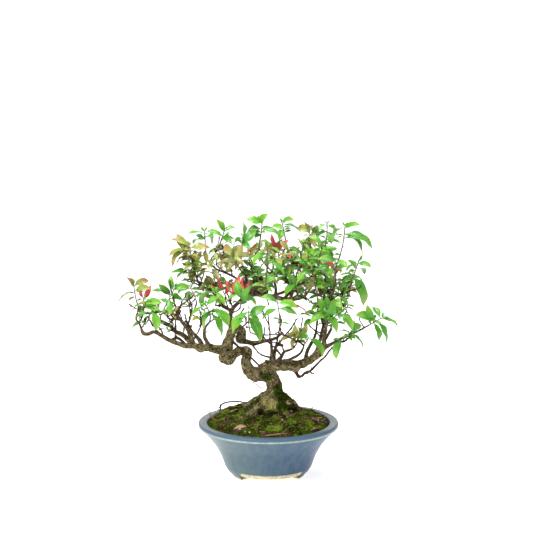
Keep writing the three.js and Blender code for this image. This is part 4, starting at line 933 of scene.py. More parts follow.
soilForm = {
    "edge": 77.8, "rise": 14.6, "roundness": 3.4, "rimRadius": 91, "reach": 90.4, "steps": 240, "rings": 76,
    "side": [[88.1, 68], [72.5, 43.2], [60.5, 15.2], [57, 11.8], [0, 11.8]], "rimFrom": 84, "rimDrop": 0.8,
    "cushion": 8.5, "cushionRise": 2.3, "roughness": 1.3, "crumb": 0.5,
}
soilSwells = [(-52, 28, 5, 1000), (44, 40, -1.5, 900)]  # place, rise and spread
bareSoil = [[66, -16, 15], [74, -8, 12], [34, -16, 9], [-62, -34, 12], [-44, -64, 10], [-4, -82, 9],
            [24, -80, 8], [-20, -50, 7], [50, -52, 8], [-74, 20, 8], [48, 30, 9]]
brightMoss = [[67, -42, 12], [-20, -30, 9], [-60, 6, 12], [-40, -16, 9], [58, 16, 12], [8, -66, 12],
              [-70, -22, 8], [34, -46, 9], [46, -6, 8]]


def soilHeight(x, y):
    r = np.minimum(np.hypot(x, y) / soilForm["rimRadius"], 1)
    dome = soilForm["rise"] * (1 - r ** soilForm["roundness"])
    swell = sum(rise * np.exp(-((x - cx) ** 2 + (y - cy) ** 2) / size) for cx, cy, rise, size in soilSwells)
    lumps = np.sin(x * 0.21 + 1.3) * np.cos(y * 0.17 - 0.4) + 0.6 * np.sin(x * 0.11 - y * 0.24)
    return soilForm["edge"] + dome + (1 - r ** 4) * (swell + 0.9 * lumps)


def groundRelief(x, y):  # rise over the dome, and how high on its cushion the place lies
    spot = Vector((x, y, 0))
    warp = noise.noise(spot / 5) * 2.5
    nearest = noise.voronoi((spot + Vector((warp, -warp, 0))) / soilForm["cushion"])[0]
    cushion = 1 - min(nearest[0] / 0.62, 1) ** 2
    rough = noise.fractal(spot / 6, 0.9, 2.2, 4)
    rise = cushion * soilForm["cushionRise"] - 1 + rough * soilForm["roughness"]
    return rise + noise.noise(spot / 0.9) * soilForm["crumb"], cushion


def spotShare(x, y, spots):  # 1 within the listed round spots, fading outside
    share = 0.0
    wobble = 1 + 0.35 * noise.noise(Vector((x / 5, y / 5, 3)))
    for cx, cy, size in spots:
        share = max(share, 1 - min(max(math.hypot(x - cx, y - cy) / (size * wobble) - 0.6, 0) / 0.5, 1))
    return share


def groundLook(x, y):  # rise, tone and moss cover of a place
    rise, cushion = groundRelief(x, y)
    patch = noise.noise(Vector((x / 16, y / 16, 7)))
    earth = spotShare(x, y, bareSoil)
    bright = spotShare(x, y, brightMoss)
    tone = 0.25 + 0.35 * cushion + 0.4 * patch + 0.35 * bright - 0.25 * earth
    cover = min(max(0.75 + 0.9 * patch + 0.5 * cushion - 1.2 * earth + 0.6 * bright, 0), 1)
    return rise, tone, cover


def surfaceHeight(x, y, rise):  # the relief dies away at the rim
    rimward = smoothstep(soilForm["rimFrom"], soilForm["reach"], math.hypot(x, y))
    return soilHeight(x, y) + rise * (1 - rimward) - soilForm["rimDrop"] * rimward


def buildSoil():
    top = float(soilHeight(0, 0))
    rows = [[soilForm["reach"] * i / soilForm["rings"], top] for i in range(soilForm["rings"] + 1)]
    soil = spunBody("soil", [*rows, *soilForm["side"]], soilForm["steps"])
    mesh = soil.data
    co = getCo(mesh) / mm
    tones = np.zeros(len(co))
    covers = np.zeros(len(co))
    for i, (x, y, z) in enumerate(co):
        if z < top - 1:
            continue
        rise, tones[i], covers[i] = groundLook(x, y)
        co[i, 2] = surfaceHeight(x, y, rise)
    setCo(mesh, co * mm)
    setAttribute(mesh, "tone", tones)
    setAttribute(mesh, "cover", covers)
    smoothShade(soil)
    soil.location = potAxis
    settle(soil)
    print("soil", len(mesh.polygons))
    return registerPiece(soil, "mossyGround", soilMaterial, "mossy_soil", ["soil"])


# Moss: tufts of fine pointed leaves, laid in patches over the soil and on the trunk's foot

mossForm = {"blades": 9, "length": 2.4, "radius": 0.4, "perPatch": 18, "patchSize": 12, "patches": 225,
            "goldenAngle": 2.39996, "onWood": 1700, "reach": 89.6, "highest": 136, "mossyFrom": 0.42,
            "leans": (8, 52), "bladeTurn": 2.4}


def tuftTemplate(draw):
    blades = []
    for i in range(mossForm["blades"]):
        length = mossForm["length"] * (0.65 + 0.6 * next(draw)) * mm
        deselectAll()
        bpy.ops.mesh.primitive_cone_add(
            vertices=3, radius1=mossForm["radius"] * mm, radius2=0, depth=length, location=(0, 0, length / 2))
        blade = bpy.context.object
        settle(blade)
        leastLean, moreLean = mossForm["leans"]
        lean = math.radians(leastLean + moreLean * math.sqrt((i + 0.5) / mossForm["blades"]))
        turn = mossForm["bladeTurn"] * i
        aside = 0.5 * math.sin(lean) * mm
        blade.rotation_euler = (0, lean, turn)
        blade.location = (aside * math.cos(turn), aside * math.sin(turn), 0)
        settle(blade)
        blades.append(blade)
    tuft = joinPieces(blades)
    setAttribute(tuft.data, "tone", getCo(tuft.data)[:, 2] / (mossForm["length"] * mm) * 0.5)
    return tuft


def discPoint(reach, draw):  # an even spread over a disc
    radius = reach * math.sqrt(next(draw))
    angle = fullTurn * next(draw)
    return radius * math.cos(angle), radius * math.sin(angle)


def tintedCopy(template, shift, turn, size, tint):
    piece = copyOf(template)
    piece.location = shift
    piece.rotation_euler = turn
    piece.scale = (size, size, size * 1.1)
    setAttribute(piece.data, "tone", getAttribute(piece.data, "tone") + tint)
    return piece


def patchTemplate(tuft, draw):
    tufts = []
    for _ in range(mossForm["perPatch"]):
        x, y = discPoint(mossForm["patchSize"] / 2, draw)
        turn = (0, 0, fullTurn * next(draw))
        size = 0.7 + 0.6 * next(draw)
        tufts.append(tintedCopy(tuft, (x * mm, y * mm, 0), turn, size, 0.1 * next(draw)))
    return joinPieces(tufts)


def buildGroundMoss(patch, draw):
    patches = []
    for i in range(mossForm["patches"]):
        radius = (mossForm["reach"] - 3) * math.sqrt((i + 0.5) / mossForm["patches"])
        angle = mossForm["goldenAngle"] * i + 0.4 * next(draw)
        shift = (radius * math.cos(angle) * mm, radius * math.sin(angle) * mm, 0)
        patches.append(tintedCopy(patch, shift, (0, 0, fullTurn * next(draw)), 0.85 + 0.3 * next(draw), 0))
    moss = joinPieces(patches)
    settle(moss)
    mesh = moss.data
    co = getCo(mesh) / mm
    radius = np.hypot(co[:, 0], co[:, 1])
    co[:, :2] *= np.minimum(1, mossForm["reach"] / np.maximum(radius, 1e-6))[:, None]
    tone = getAttribute(mesh, "tone")
    for i, (x, y, z) in enumerate(co):
        rise, tint, cover = groundLook(x, y)
        height = (0.25 + 0.75 * smoothstep(0.25, 0.6, cover)) * z
        sunk = 2.2 * (1 - smoothstep(0.1, 0.45, cover))  # under the soil where it is bare
        co[i, 2] = surfaceHeight(x, y, rise) + height - sunk
        tone[i] += tint
    setCo(mesh, co * mm)
    setAttribute(mesh, "tone", tone)
    moss.location = potAxis
    settle(moss)
    print("ground moss", len(mesh.polygons))
    return registerPiece(moss, "groundMoss", mossMaterial, "mossy_soil")


def buildWoodMoss(tuft, limbsPiece, draw):  # tufts standing on the mossy faces of the trunk's foot
    mesh = limbsPiece.data
    moss = getAttribute(mesh, "moss")
    co = getCo(mesh)
    normals = getNormals(mesh)
    able = np.flatnonzero((moss > mossForm["mossyFrom"]) & (co[:, 2] < mossForm["highest"] * mm))
    tufts = []
    for _ in range(mossForm["onWood"]):
        i = able[int(next(draw) * len(able)) % len(able)]
        lean = Vector(normals[i] * 0.8 + up * 0.35).to_track_quat("Z", "Y").to_euler()
        size = (0.3 + 0.35 * next(draw)) * (0.4 + 0.7 * min(float(moss[i]), 1))
        tint = -0.05 + 0.45 * noise.noise(Vector(co[i]) / (9 * mm)) + 0.15 * next(draw)
        tufts.append(tintedCopy(tuft, co[i] - normals[i] * 0.3 * mm, lean, size, tint))
    piece = joinPieces(tufts)
    settle(piece)
    print("moss on the wood", len(piece.data.polygons))
    return registerPiece(piece, "trunkMoss", mossMaterial, "mossy_soil")


# Litter: dead leaves, straws, dead twigs and chips on the moss

litterForm = {"straws": 290, "strawRadius": 0.24, "strawReach": 86, "strawLimit": 89, "strawLengths": (4, 15),
              "chips": 90, "chipReach": 85, "chipSizes": (1.6, 3.8), "chipShape": (1, 0.6, 0.28),
              "chipBevel": 0.08, "chipRoughness": 0.22}
placedStraws = {
    "dead": [
        [[-74, 28, 92, 1.3], [-70, 28, 98, 1.3], [-62, 28, 101, 1.2], [-51, 28, 102, 1.2],
         [-38, 28, 101, 1.1], [-30, 28, 98, 1]],
        [[-73, 18, 88, 1.3], [-72, 16, 96, 1.1], [-73, 15, 102, 0.7]],
        [[-74, 16, 92, 0.7], [-77, 12, 98, 0.4]],
        [[63, 24, 86, 0.7], [66, 24, 93, 0.6], [69, 23, 98, 0.5]],
        [[30, -14, 100, 0.6], [29, -18, 94, 0.6], [29, -20, 87, 0.5]],
    ],
    "pale": [
        [[-80, -12, 84, 0.5], [-85, -11, 91, 0.5], [-88, -10, 98, 0.4]],
        [[-82, -10, 84, 0.5], [-88, -9, 92, 0.5], [-89, -8, 101, 0.4]],
        [[-77, -16, 84, 0.5], [-82, -14, 89, 0.4], [-86, -12, 93, 0.3]],
        [[-86, -4, 84, 0.4], [-82, -10, 89, 0.35], [-78, -14, 91, 0.3]],
        [[-84, -16, 81, 0.4], [-80, -22, 85, 0.4], [-76, -30, 84, 0.3]],
        [[-82, 2, 84, 0.3], [-87, 4, 91, 0.3], [-88, 4, 98, 0.2]],
        [[-4, -87, 80.5, 0.8], [6, -86, 81.5, 0.8], [18, -84, 81, 0.6]],
        [[4, -84, 81, 0.7], [14, -82, 82.4, 0.7], [25, -80, 81.5, 0.5]],
        [[60, -60, 81, 0.9], [67, -54, 82, 0.9], [73, -47, 81.5, 0.7]],
        [[70, -18, 88, 0.8], [76, -14, 88, 0.8], [80, -6, 86, 0.7]],
    ],
}
deadLeaves = [  # root, tip, roll, breadth and tone
    [[-50, -69, 85], [-31, -64, 87], 0.75, 0.6, 0.95], [[-41, 2, 95], [-58, -8, 95], 0.7, 0.7, 0.1],
    [[62, -24, 90], [71, -30, 89], 1.0, 0.8, -0.6], [[30, -10, 97], [37, -14, 96], 0.8, 0.8, -0.5],
    [[-12, -79, 84], [-4, -81, 84], 0.6, 0.8, -0.4],
]
paleChips = [[-41, -69, 3.4], [-27, -77, 3.6], [-33, -75, 2.6], [66, -52, 3], [73, -16, 3.4], [62, -30, 3],
             [20, -48, 2.6]]


def groundPoint(x, y, lift):
    return [x, y, float(soilHeight(x, y)) + groundRelief(x, y)[0] + lift]


def paintPlain(mesh, grain, thickness):  # bark with neither moss nor cuts
    for label, value in {"grain": grain, "thickness": thickness, "moss": 0, "cut": 0, "fibre": 0}.items():
        setAttribute(mesh, label, value)


def buildStraws(draw):
    lines = []
    shortest, longest = litterForm["strawLengths"]
    for _ in range(litterForm["straws"]):
        x, y = discPoint(litterForm["strawReach"], draw)
        turn = fullTurn * next(draw)
        half = (shortest + (longest - shortest) * next(draw)) / 2
        ends = [(x - math.cos(turn) * half, y - math.sin(turn) * half),
                (x + 0.8 * next(draw), y + 0.8 * next(draw)),
                (x + math.cos(turn) * half, y + math.sin(turn) * half)]
        if max(math.hypot(*end) for end in ends) > litterForm["strawLimit"]:
            continue
        size = litterForm["strawRadius"] * (0.6 + next(draw))
        lines.append([[*groundPoint(*end, 1.4 + 1.6 * next(draw)), size] for end in ends])
    straws = tubesFrom("straws", [*lines, *placedStraws["pale"]], 6, 3)
    setAttribute(straws.data, "tone", 0.5)
    smoothShade(straws)
    registerPiece(straws, "straws", strawMaterial, "mossy_soil")
    dead = tubesFrom("deadTwigs", placedStraws["dead"], 6, 3)
    paintPlain(dead.data, 0, 1.5)
    smoothShade(dead)
    registerPiece(dead, "deadTwigs", barkMaterial, "bark")


def chipTemplate():
    deselectAll()
    bpy.ops.mesh.primitive_cube_add(size=mm, location=(0, 0, 0))
    chip = bpy.context.object
    chip.scale = litterForm["chipShape"]
    settle(chip)
    bpy.ops.object.mode_set(mode="EDIT")
    bpy.ops.mesh.select_all(action="SELECT")
    bpy.ops.mesh.subdivide(number_cuts=1)
    bpy.ops.mesh.bevel(offset=litterForm["chipBevel"] * mm, segments=1)
    bpy.ops.object.mode_set(mode="OBJECT")
    mesh = chip.data
    co = getCo(mesh)
    shifts = [[noise.noise(Vector(c) / mm * 1.7 + Vector((0, 0, k * 9))) for k in range(3)] for c in co]
    setCo(mesh, co + np.array(shifts) * litterForm["chipRoughness"] * mm)
    setAttribute(mesh, "tone", 0.0)
    return chip


def buildChips(draw):
    template = chipTemplate()
    brown = []
    pale = []
    smallest, largest = litterForm["chipSizes"]
    for _ in range(litterForm["chips"]):
        spot = place(groundPoint(*discPoint(litterForm["chipReach"], draw), 1.2))
        turn = (0.8 * next(draw) - 0.4, 0.8 * next(draw) - 0.4, fullTurn * next(draw))
        size = smallest + (largest - smallest) * next(draw)
        brown.append(tintedCopy(template, spot, turn, size, next(draw)))
    for x, y, size in paleChips:
        turn = (0.6 * next(draw) - 0.3, 0.6 * next(draw) - 0.3, fullTurn * next(draw))
        pale.append(tintedCopy(template, place(groundPoint(x, y, 1.6)), turn, size, next(draw)))
    bpy.data.objects.remove(template)
    for label, chips, material in (("barkChips", brown, strawMaterial), ("paleChips", pale, chipMaterial)):
        piece = joinPieces(chips)
        settle(piece)
        smoothShade(piece, 40)
        registerPiece(piece, label, material, "mossy_soil")


def buildDeadLeaves(template, draw):
    leaves = []
    for root, tip, roll, breadth, tone in deadLeaves:
        length = math.dist(root, tip)
        wish = {"root": np.array(root, float), "tip": np.array(tip, float), "roll": roll, "breadth": breadth,
                "length": length, "young": 0, "tone": tone}
        leaves.append(bentLeaf(template, wish, draw))
    piece = joinPieces(leaves)
    registerPiece(piece, "deadLeaves", deadLeafMaterial, "mossy_soil")


# Wood: the limbs and the rule that grows every twig, as in the part's source

growth = {
    "twigTip": 1, "bareTip": 0.75, "nodeSpacing": 7, "nodeSwell": 0.5, "wander": 1.1, "startPull": 0.8,
    "endPull": 0.7, "taper": 0.01, "segment": 28, "forkShare": 0.6, "leastShare": 0.85,
}
forkCost = {"nearest": 3, "turning": (1.5, 0.6), "climbing": (1.2, 0.4), "crowding": 7}
growsNoTwigs = ["trunk", "cutStub", "stubUp", "stubNub", "hangTwig", "thinTwig"]
limbLook = {"voxel": 1, "smoothing": 2, "lump": 1.2, "lumpSize": 9, "grain": 1.15, "trunkRadius": 6,
            "frameStep": 1.5, "batch": 2000}
# limbs drawn as twigs, and how much thicker
thinLimbs = {"hangTwig": 1.3, "thinTwig": 1.35, "rightDroop": 1.15, "rightLongLow": 1.1}
extraTwigs = {"count": 60, "tip": 0.85, "low": (-160, -55, 212), "high": (135, 70, 300), "shortest": 9,
              "longest": 46}
twigFans = [  # hub, count, reach, spread, lean, and the shares with leaves and of those with bronze ones
    ((-112, -12, 200), 28, (28, 76), 0.8, (-0.1, 0), (0.1, 0.5)),
    ((-142, -14, 212), 20, (18, 48), 0.9, (-0.1, 0), (0.2, 0.5)),
    ((-172, -26, 222), 10, (14, 36), 0.8, (-0.1, 0), (0.5, 0.5)),
    ((-88, -6, 262), 8, (18, 46), 1.0, (-0.2, 0), (0.8, 0.5)),
    ((-98, -14, 292), 12, (12, 46), 1.0, (-0.1, 0), (1, 0.65)),
    ((-72, -4, 222), 8, (18, 44), 0.9, (-0.2, 0), (0.1, 0.4)),
    ((-52, 2, 262), 8, (16, 48), 0.9, (-0.3, 0), (0.5, 0.4)),
    ((-48, 0, 300), 8, (14, 44), 0.9, (0, 0), (0.9, 0.4)),
    ((76, -18, 192), 26, (36, 92), 0.55, (0.1, 0), (0.5, 0.2)),
    ((30, -14, 172), 8, (22, 52), 0.9, (0, -0.1), (0.2, 0.4)),
    ((-16, 8, 268), 15, (22, 62), 0.7, (0, 0), (0.7, 0.45)),
    ((32, 18, 260), 22, (24, 68), 0.8, (0.2, 0), (0.75, 0.35)),
    ((10, 0, 308), 10, (12, 40), 0.9, (0, -0.1), (0.8, 0.45)),
    ((72, 20, 250), 20, (20, 58), 0.9, (0.3, 0), (0.8, 0.3)),
    ((78, -8, 296), 16, (12, 42), 1.0, (0.1, -0.1), (0.95, 0.2)),
    ((50, 0, 300), 12, (12, 40), 1.0, (0, -0.1), (0.95, 0.3)),
    ((118, -30, 222), 5, (10, 26), 0.9, (0.4, -0.2), (0.5, 0.2)),
]
placedTwigs = [
    [[-122, -20, 200, 2.4], [-128, -21, 206, 2.3], [-133, -22, 209, 2.5], [-138, -22, 208, 1.9],
     [-144, -22, 206, 0.9]],
    [[-133, -22, 209, 1.3], [-134, -22, 213, 0.8]],
    [[-165, -26, 231, 0.9], [-162, -26, 228, 1.1], [-156, -26, 222, 1.2], [-153, -26, 212, 1.4],
     [-152, -27, 208, 1.3]],
    [[30, -13, 112, 2], [34, -15, 113, 1.7], [38, -16, 116, 0.8]],
    [[60, -29, 161, 1.4], [64, -30, 158, 1.1], [67, -30, 158, 0.7]],
]
spurs = {"count": 420, "shortest": 1.4, "longest": 6, "radius": 0.7}
woodMoss = [[14, -11, 131, 9], [20, -11, 122, 14], [28, -9, 112, 14], [20, -17, 103, 13], [34, -8, 101, 12],
            [-2, -15, 149, 9], [-18, -8, 113, 11], [-28, -6, 106, 12], [-26, -16, 100, 10], [4, -26, 94, 12],
            [-10, -24, 96, 10], [-4, -14, 128, 6], [40, -4, 96, 12], [-38, -18, 96, 9],
            [-36, -28, 92, 9], [-46, -36, 88, 8], [-50, 16, 96, 14]]
paleFibre = [[4, -20, 110, 11], [12, -20, 106, 8], [-5, -19, 112, 6]]
cutSpots = [[30, -14, 113, 6.4], [34, -13, 113, 6]]
# hollows at the trunk's foot and forks, by place and size, where the bark is darkened as painted shade
paintedShadeHollows = [[-73, -12, 190, 6], [-58, -14, 192, 5], [4, -30, 94, 10], [12, -24, 92, 9], [-6, -28, 92, 9],
               [-14, -26, 98, 6], [22, -22, 92, 8], [30, -12, 96, 6], [-26, -22, 94, 9],
               [-9, -10, 152, 7], [-37, -17, 90, 8]]
skeleton = []
twigLines = []
sprigEnds = []


def addToSkeleton(rows):
    for i, row in enumerate(rows):
        before = np.array(rows[max(i - 1, 0)][:3], float)
        after = np.array(rows[min(i + 1, len(rows) - 1)][:3], float)
        point = np.array(row[:3], float)
        skeleton.append({"point": point, "along": unit(after - before), "radius": row[3], "taken": 0})


def bestForkFor(target):  # the nearest point of the wood that a twig can leave without a sharp turn
    best = None
    lowest = math.inf
    for node in skeleton:
        way = target - node["point"]
        distance = np.linalg.norm(way)
        if distance < forkCost["nearest"]:
            continue
        way = way / distance
        bend = forkCost["turning"][0] - forkCost["turning"][1] * way.dot(node["along"])
        climb = forkCost["climbing"][0] - forkCost["climbing"][1] * way[2]
        cost = distance * bend * climb + forkCost["crowding"] * node["taken"]
        if cost < lowest:
            lowest = cost
            best = node
    best["taken"] += 1
    return best


def growTwig(end, endDirection, tipRadius):
    end = np.array(end, float)
    fork = bestForkFor(end)
    way = end - fork["point"]
    length = np.linalg.norm(way)
    start = unit(way / length + 0.4 * fork["along"] + 0.3 * up) * length * growth["startPull"]
    finish = endDirection * length * growth["endPull"]
    thickest = min(fork["radius"] * growth["forkShare"], tipRadius + length * growth["taper"])
    baseRadius = max(thickest, tipRadius * growth["leastShare"])

    def rowAt(t):
        point = fork["point"] * (2 * t ** 3 - 3 * t ** 2 + 1) + start * (t ** 3 - 2 * t ** 2 + t)
        point = point + end * (3 * t ** 2 - 2 * t ** 3) + finish * (t ** 3 - t ** 2)
        return [*point, baseRadius + (tipRadius - baseRadius) * t]

    segments = min(max(math.floor(length / growth["segment"] + 0.5), 2), 3)
    addToSkeleton([rowAt(i / segments) for i in range(1, segments)])
    fine = max(round(length / growth["nodeSpacing"]), 2) * 2
    twigLines.append([rowAt(i / fine) for i in range(fine + 1)])


def bezier(a, b, c, t):
    return a * (1 - t) ** 2 + b * 2 * t * (1 - t) + c * t ** 2


def stemLine(spray, index, draw):
    tip = np.array(spray["stems"][index][0], float)
    bend = np.array([next(draw) - 0.5, next(draw) - 0.5, 0.2 * next(draw) - 0.3])
    if index == 0:
        seat = np.array(spray["seat"], float)
        middle = (seat + tip) / 2 + bend * 0.14 * np.linalg.norm(tip - seat)
        return {"start": seat, "middle": middle, "tip": tip, "direction": unit(middle - seat)}
    first = spray["lines"][0]
    start = bezier(first["start"], first["middle"], first["tip"], 0.3)
    middle = (start + tip) / 2 + first["direction"] * 0.18 * np.linalg.norm(tip - start)
    return {"start": start, "middle": middle, "tip": tip, "direction": first["direction"]}


def growAll():
    for name, rows in limbs.items():
        if name not in growsNoTwigs:
            addToSkeleton(rows)
    for i, spray in enumerate(sprays):
        spray["draw"] = randomFrom(seeds["shoots"] * (i + 1))
        spray["lines"] = []
        for k in range(len(spray["stems"])):
            spray["lines"].append(stemLine(spray, k, spray["draw"]))
        growTwig(spray["seat"], spray["lines"][0]["direction"], growth["twigTip"])
    for end in bareTwigs:
        growTwig(end, unit(np.array([end[0] * 0.002, 0, 1])), growth["bareTip"])


def growExtraTwigs(draw):  # thin twigs that fill the crown's inside, some of which will end in sprigs
    low = np.array(extraTwigs["low"], float)
    span = np.array(extraTwigs["high"], float) - low
    grown = 0
    while grown < extraTwigs["count"]:
        target = low + span * np.array([next(draw), next(draw), next(draw)])
        nearest = min(np.linalg.norm(node["point"] - target) for node in skeleton)
        if not extraTwigs["shortest"] <= nearest <= extraTwigs["longest"]:
            continue
        growTwig(target, unit(np.array([next(draw) - 0.5, next(draw) - 0.5, 0.9])), extraTwigs["tip"])
        grown += 1
    for hub, count, (shortest, longest), spread, lean, (leafyShare, bronzeShare) in twigFans:
        for _ in range(count):
            aside = spread * (2 * next(draw) - 1) + lean[0]
            ahead = spread * 0.8 * (2 * next(draw) - 1) + lean[1]
            way = unit(np.array([aside, ahead, 1]))
            end = np.array(hub, float) + way * (shortest + (longest - shortest) * next(draw))
            growTwig(end, unit(way + 0.5 * up), extraTwigs["tip"])
            if next(draw) < leafyShare:
                sprigEnds.append((end, way, bronzeShare))


def tubesFrom(name, lines, sides, steps):  # one mesh of smooth, capped tubes with a radius at every point
    deselectAll()
    bpy.ops.curve.primitive_bezier_curve_add(location=(0, 0, 0))
    tubes = bpy.context.object
    curve = tubes.data
    curve.splines.clear()
    curve.dimensions = "3D"
    curve.bevel_depth = mm
    curve.bevel_resolution = sides // 2 - 2
    curve.use_fill_caps = True
    for rows in lines:
        spline = curve.splines.new("BEZIER")
        spline.bezier_points.add(len(rows) - 1)
        spline.resolution_u = steps
        spline.radius_interpolation = "CARDINAL"
        for point, row in zip(spline.bezier_points, rows):
            point.co = place(row)
            point.radius = row[3]
            point.handle_left_type = point.handle_right_type = "AUTO"
    makeActive(tubes)
    bpy.ops.object.convert(target="MESH")
    tubes.name = name
    return tubes


def limbFrames(lines):  # closely spaced points on the limbs with their directions and radii
    points, alongs, radii, runs = [], [], [], []
    for rows in lines:
        run = 0
        for a, b in zip(rows, rows[1:]):
            p = np.array(a[:3], float)
            q = np.array(b[:3], float)
            length = np.linalg.norm(q - p)
            count = max(int(length / limbLook["frameStep"]), 1)
            for i in range(count):
                t = i / count
                points.append(p + (q - p) * t)
                alongs.append((q - p) / max(length, 1e-6))
                radii.append(a[3] + (b[3] - a[3]) * t)
                runs.append(run + length * t)
            run += length
    return points, alongs, radii, runs


def nearestFrames(co, lines):  # axis point, direction, radius and run of the thickest limb near each point
    points, alongs, radii, runs = [np.array(values) for values in limbFrames(lines)]
    centres = points * mm + potAxis
    found = np.empty(len(co), int)
    batch = limbLook["batch"]
    for start in range(0, len(co), batch):
        part = co[start:start + batch]
        depth = np.linalg.norm(part[:, None] - centres[None], axis=2) / mm - radii
        close = depth < depth.min(1)[:, None] + 1.2
        found[start:start + batch] = np.where(close, radii, -1).argmax(1)
    return centres[found], alongs[found], radii[found], runs[found]


def barkRelief(co, normals, lines):
    centre, along, radius, run = nearestFrames(co, lines)
    away = (co - centre) / mm
    away -= along * np.sum(away * along, 1)[:, None]
    grain = np.empty(len(co))
    lump = np.empty(len(co))
    for i in range(len(co)):
        spot = Vector(away[i] * 0.5 + along[i] * run[i] * 0.12)
        ridge = 1 - 2 * abs(noise.noise(spot))
        grain[i] = 0.55 * ridge + 0.6 * noise.fractal(spot * 1.7, 0.8, 2.1, 3)
        lump[i] = noise.noise(Vector(co[i]) / (limbLook["lumpSize"] * mm))
    size = np.clip(radius / limbLook["trunkRadius"], 0.12, 1.6)
    rise = (grain - 0.2) * limbLook["grain"] * size + lump * limbLook["lump"] * size
    return co + normals * (rise * mm)[:, None], grain, radius


def nearSpots(co, spots):  # 1 in the middle of listed round spots, 0 outside them
    result = np.zeros(len(co))
    for x, y, z, size in spots:
        distance = np.linalg.norm(co - place([x, y, z]), axis=1) / mm
        result = np.maximum(result, 1 - smoothstep(size * 0.45, size * 1.1, distance))
    return result


def isCutFace(co, normals, rows):  # 1 on the end of a stump
    end = place(rows[-1])
    way = unit(place(rows[-1]) - place(rows[-2]))
    near = np.linalg.norm(co - end, axis=1) < (rows[-1][3] + 0.6) * mm
    return near * smoothstep(0.55, 0.8, normals @ way)


def paintWood(mesh, grain, radius, stumpRows):  # bark, moss, torn fibre, cut ends, and painted shade in the hollows
    co = getCo(mesh)
    normals = getNormals(mesh)
    flat = (co - potAxis) / mm
    overSoil = flat[:, 2] - soilHeight(flat[:, 0], flat[:, 1])
    roughEdge = np.array([noise.noise(Vector(c) / (7 * mm)) for c in co])
    low = 1 - smoothstep(1, 9, overSoil + 7 * roughEdge)
    moss = np.maximum(nearSpots(co, woodMoss) * 0.95, low * (0.45 + 0.4 * normals[:, 2]))
    # the grain is lowered in the listed hollows: painted shade, drawn in the bark's darkest colour
    setAttribute(mesh, "grain", grain * 0.5 + 0.4 - 0.9 * nearSpots(co, paintedShadeHollows))
    setAttribute(mesh, "thickness", radius)
    cutEnds = nearSpots(co, cutSpots)
    setAttribute(mesh, "moss", (moss + 0.3 * roughEdge * (moss > 0.05)) * (1 - cutEnds))
    setAttribute(mesh, "fibre", nearSpots(co, paleFibre) * (0.6 + 0.5 * roughEdge))
    cut = np.maximum(isCutFace(co, normals, stumpRows), isCutFace(co, normals, limbs["cutStub"]))
    setAttribute(mesh, "cut", np.maximum(cut, cutEnds))


def buildLimbs():
    rootRows = {name: [[x, y, soilHeight(x, y) + lift, r] for x, y, lift, r in rows]
                for name, rows in roots.items()}
    thick = [rows for name, rows in limbs.items() if name not in thinLimbs]
    lines = [*thick, *rootRows.values()]
    limbsPiece = tubesFrom("limbs", lines, 12, 5)
    remesh = limbsPiece.modifiers.new("blend", "REMESH")
    remesh.mode = "VOXEL"
    remesh.voxel_size = limbLook["voxel"] * mm
    smooth = limbsPiece.modifiers.new("soften", "SMOOTH")
    smooth.iterations = limbLook["smoothing"]
    applyModifiers(limbsPiece)
    mesh = limbsPiece.data
    co, grain, radius = barkRelief(getCo(mesh), getNormals(mesh), lines)
    setCo(mesh, co)
    paintWood(mesh, grain, radius, rootRows["stump"])
    smoothShade(limbsPiece)
    print("limbs", len(mesh.polygons))
    return registerPiece(limbsPiece, "trunkAndLimbs", barkMaterial, "bark", ["wood"])


def knobbly(rows, draw):  # a twig's line with swollen nodes and a slight wander
    result = []
    for i, (x, y, z, r) in enumerate(rows):
        wander = growth["wander"] if 0 < i < len(rows) - 1 else 0
        swell = 1 + growth["nodeSwell"] * (i % 2) * next(draw)
        shift = [(next(draw) - 0.5) * wander for _ in range(3)]
        result.append([x + shift[0], y + shift[1], z + shift[2], r * swell])
    return result


def spurLines(lines, draw):  # short stubs of old side twigs
    result = []
    for _ in range(spurs["count"]):
        rows = lines[int(next(draw) * len(lines)) % len(lines)]
        i = 1 + int(next(draw) * (len(rows) - 2.01))
        start = np.array(rows[i][:3], float)
        along = unit(np.array(rows[i + 1][:3], float) - start)
        side = unit(np.cross(along, [next(draw) - 0.5, next(draw) - 0.5, next(draw) - 0.5]))
        way = unit(side + 0.7 * along + 0.3 * up)
        length = spurs["shortest"] + (spurs["longest"] - spurs["shortest"]) * next(draw) ** 2 + rows[i][3]
        size = min(spurs["radius"], rows[i][3] * 0.8)
        bend = side * 0.3 * next(draw)
        middle = start + (way + bend) * length * 0.55
        end = start + way * length
        result.append([[*start, size], [*middle, size * 0.9], [*end, size * 0.75]])
    return result


def buildTwigs():
    draw = randomFrom(seeds["knobs"])
    growExtraTwigs(randomFrom(seeds["extraTwigs"]))
    lines = [knobbly(rows, draw) for rows in twigLines]
    for name, share in thinLimbs.items():
        rows = [[x, y, z, r * share] for x, y, z, r in curveThrough(limbs[name], 3)]
        lines.append(knobbly(rows, draw))
    limbRows = [rows for rows in limbs.values() if rows[0][3] < 5 and len(rows) > 2]
    twigs = tubesFrom("twigs", [*lines, *placedTwigs, *spurLines([*lines, *limbRows], draw)], 6, 3)
    grain = [noise.noise(Vector(c) / (2.5 * mm)) * 0.5 + 0.4 for c in getCo(twigs.data)]
    paintPlain(twigs.data, grain, 1)
    smoothShade(twigs)
    print("twigs", len(twigs.data.polygons))
    return registerPiece(twigs, "twigs", barkMaterial, "bark", ["wood"])


# Leafy shoots: a young stem and its leaves in one piece for each node

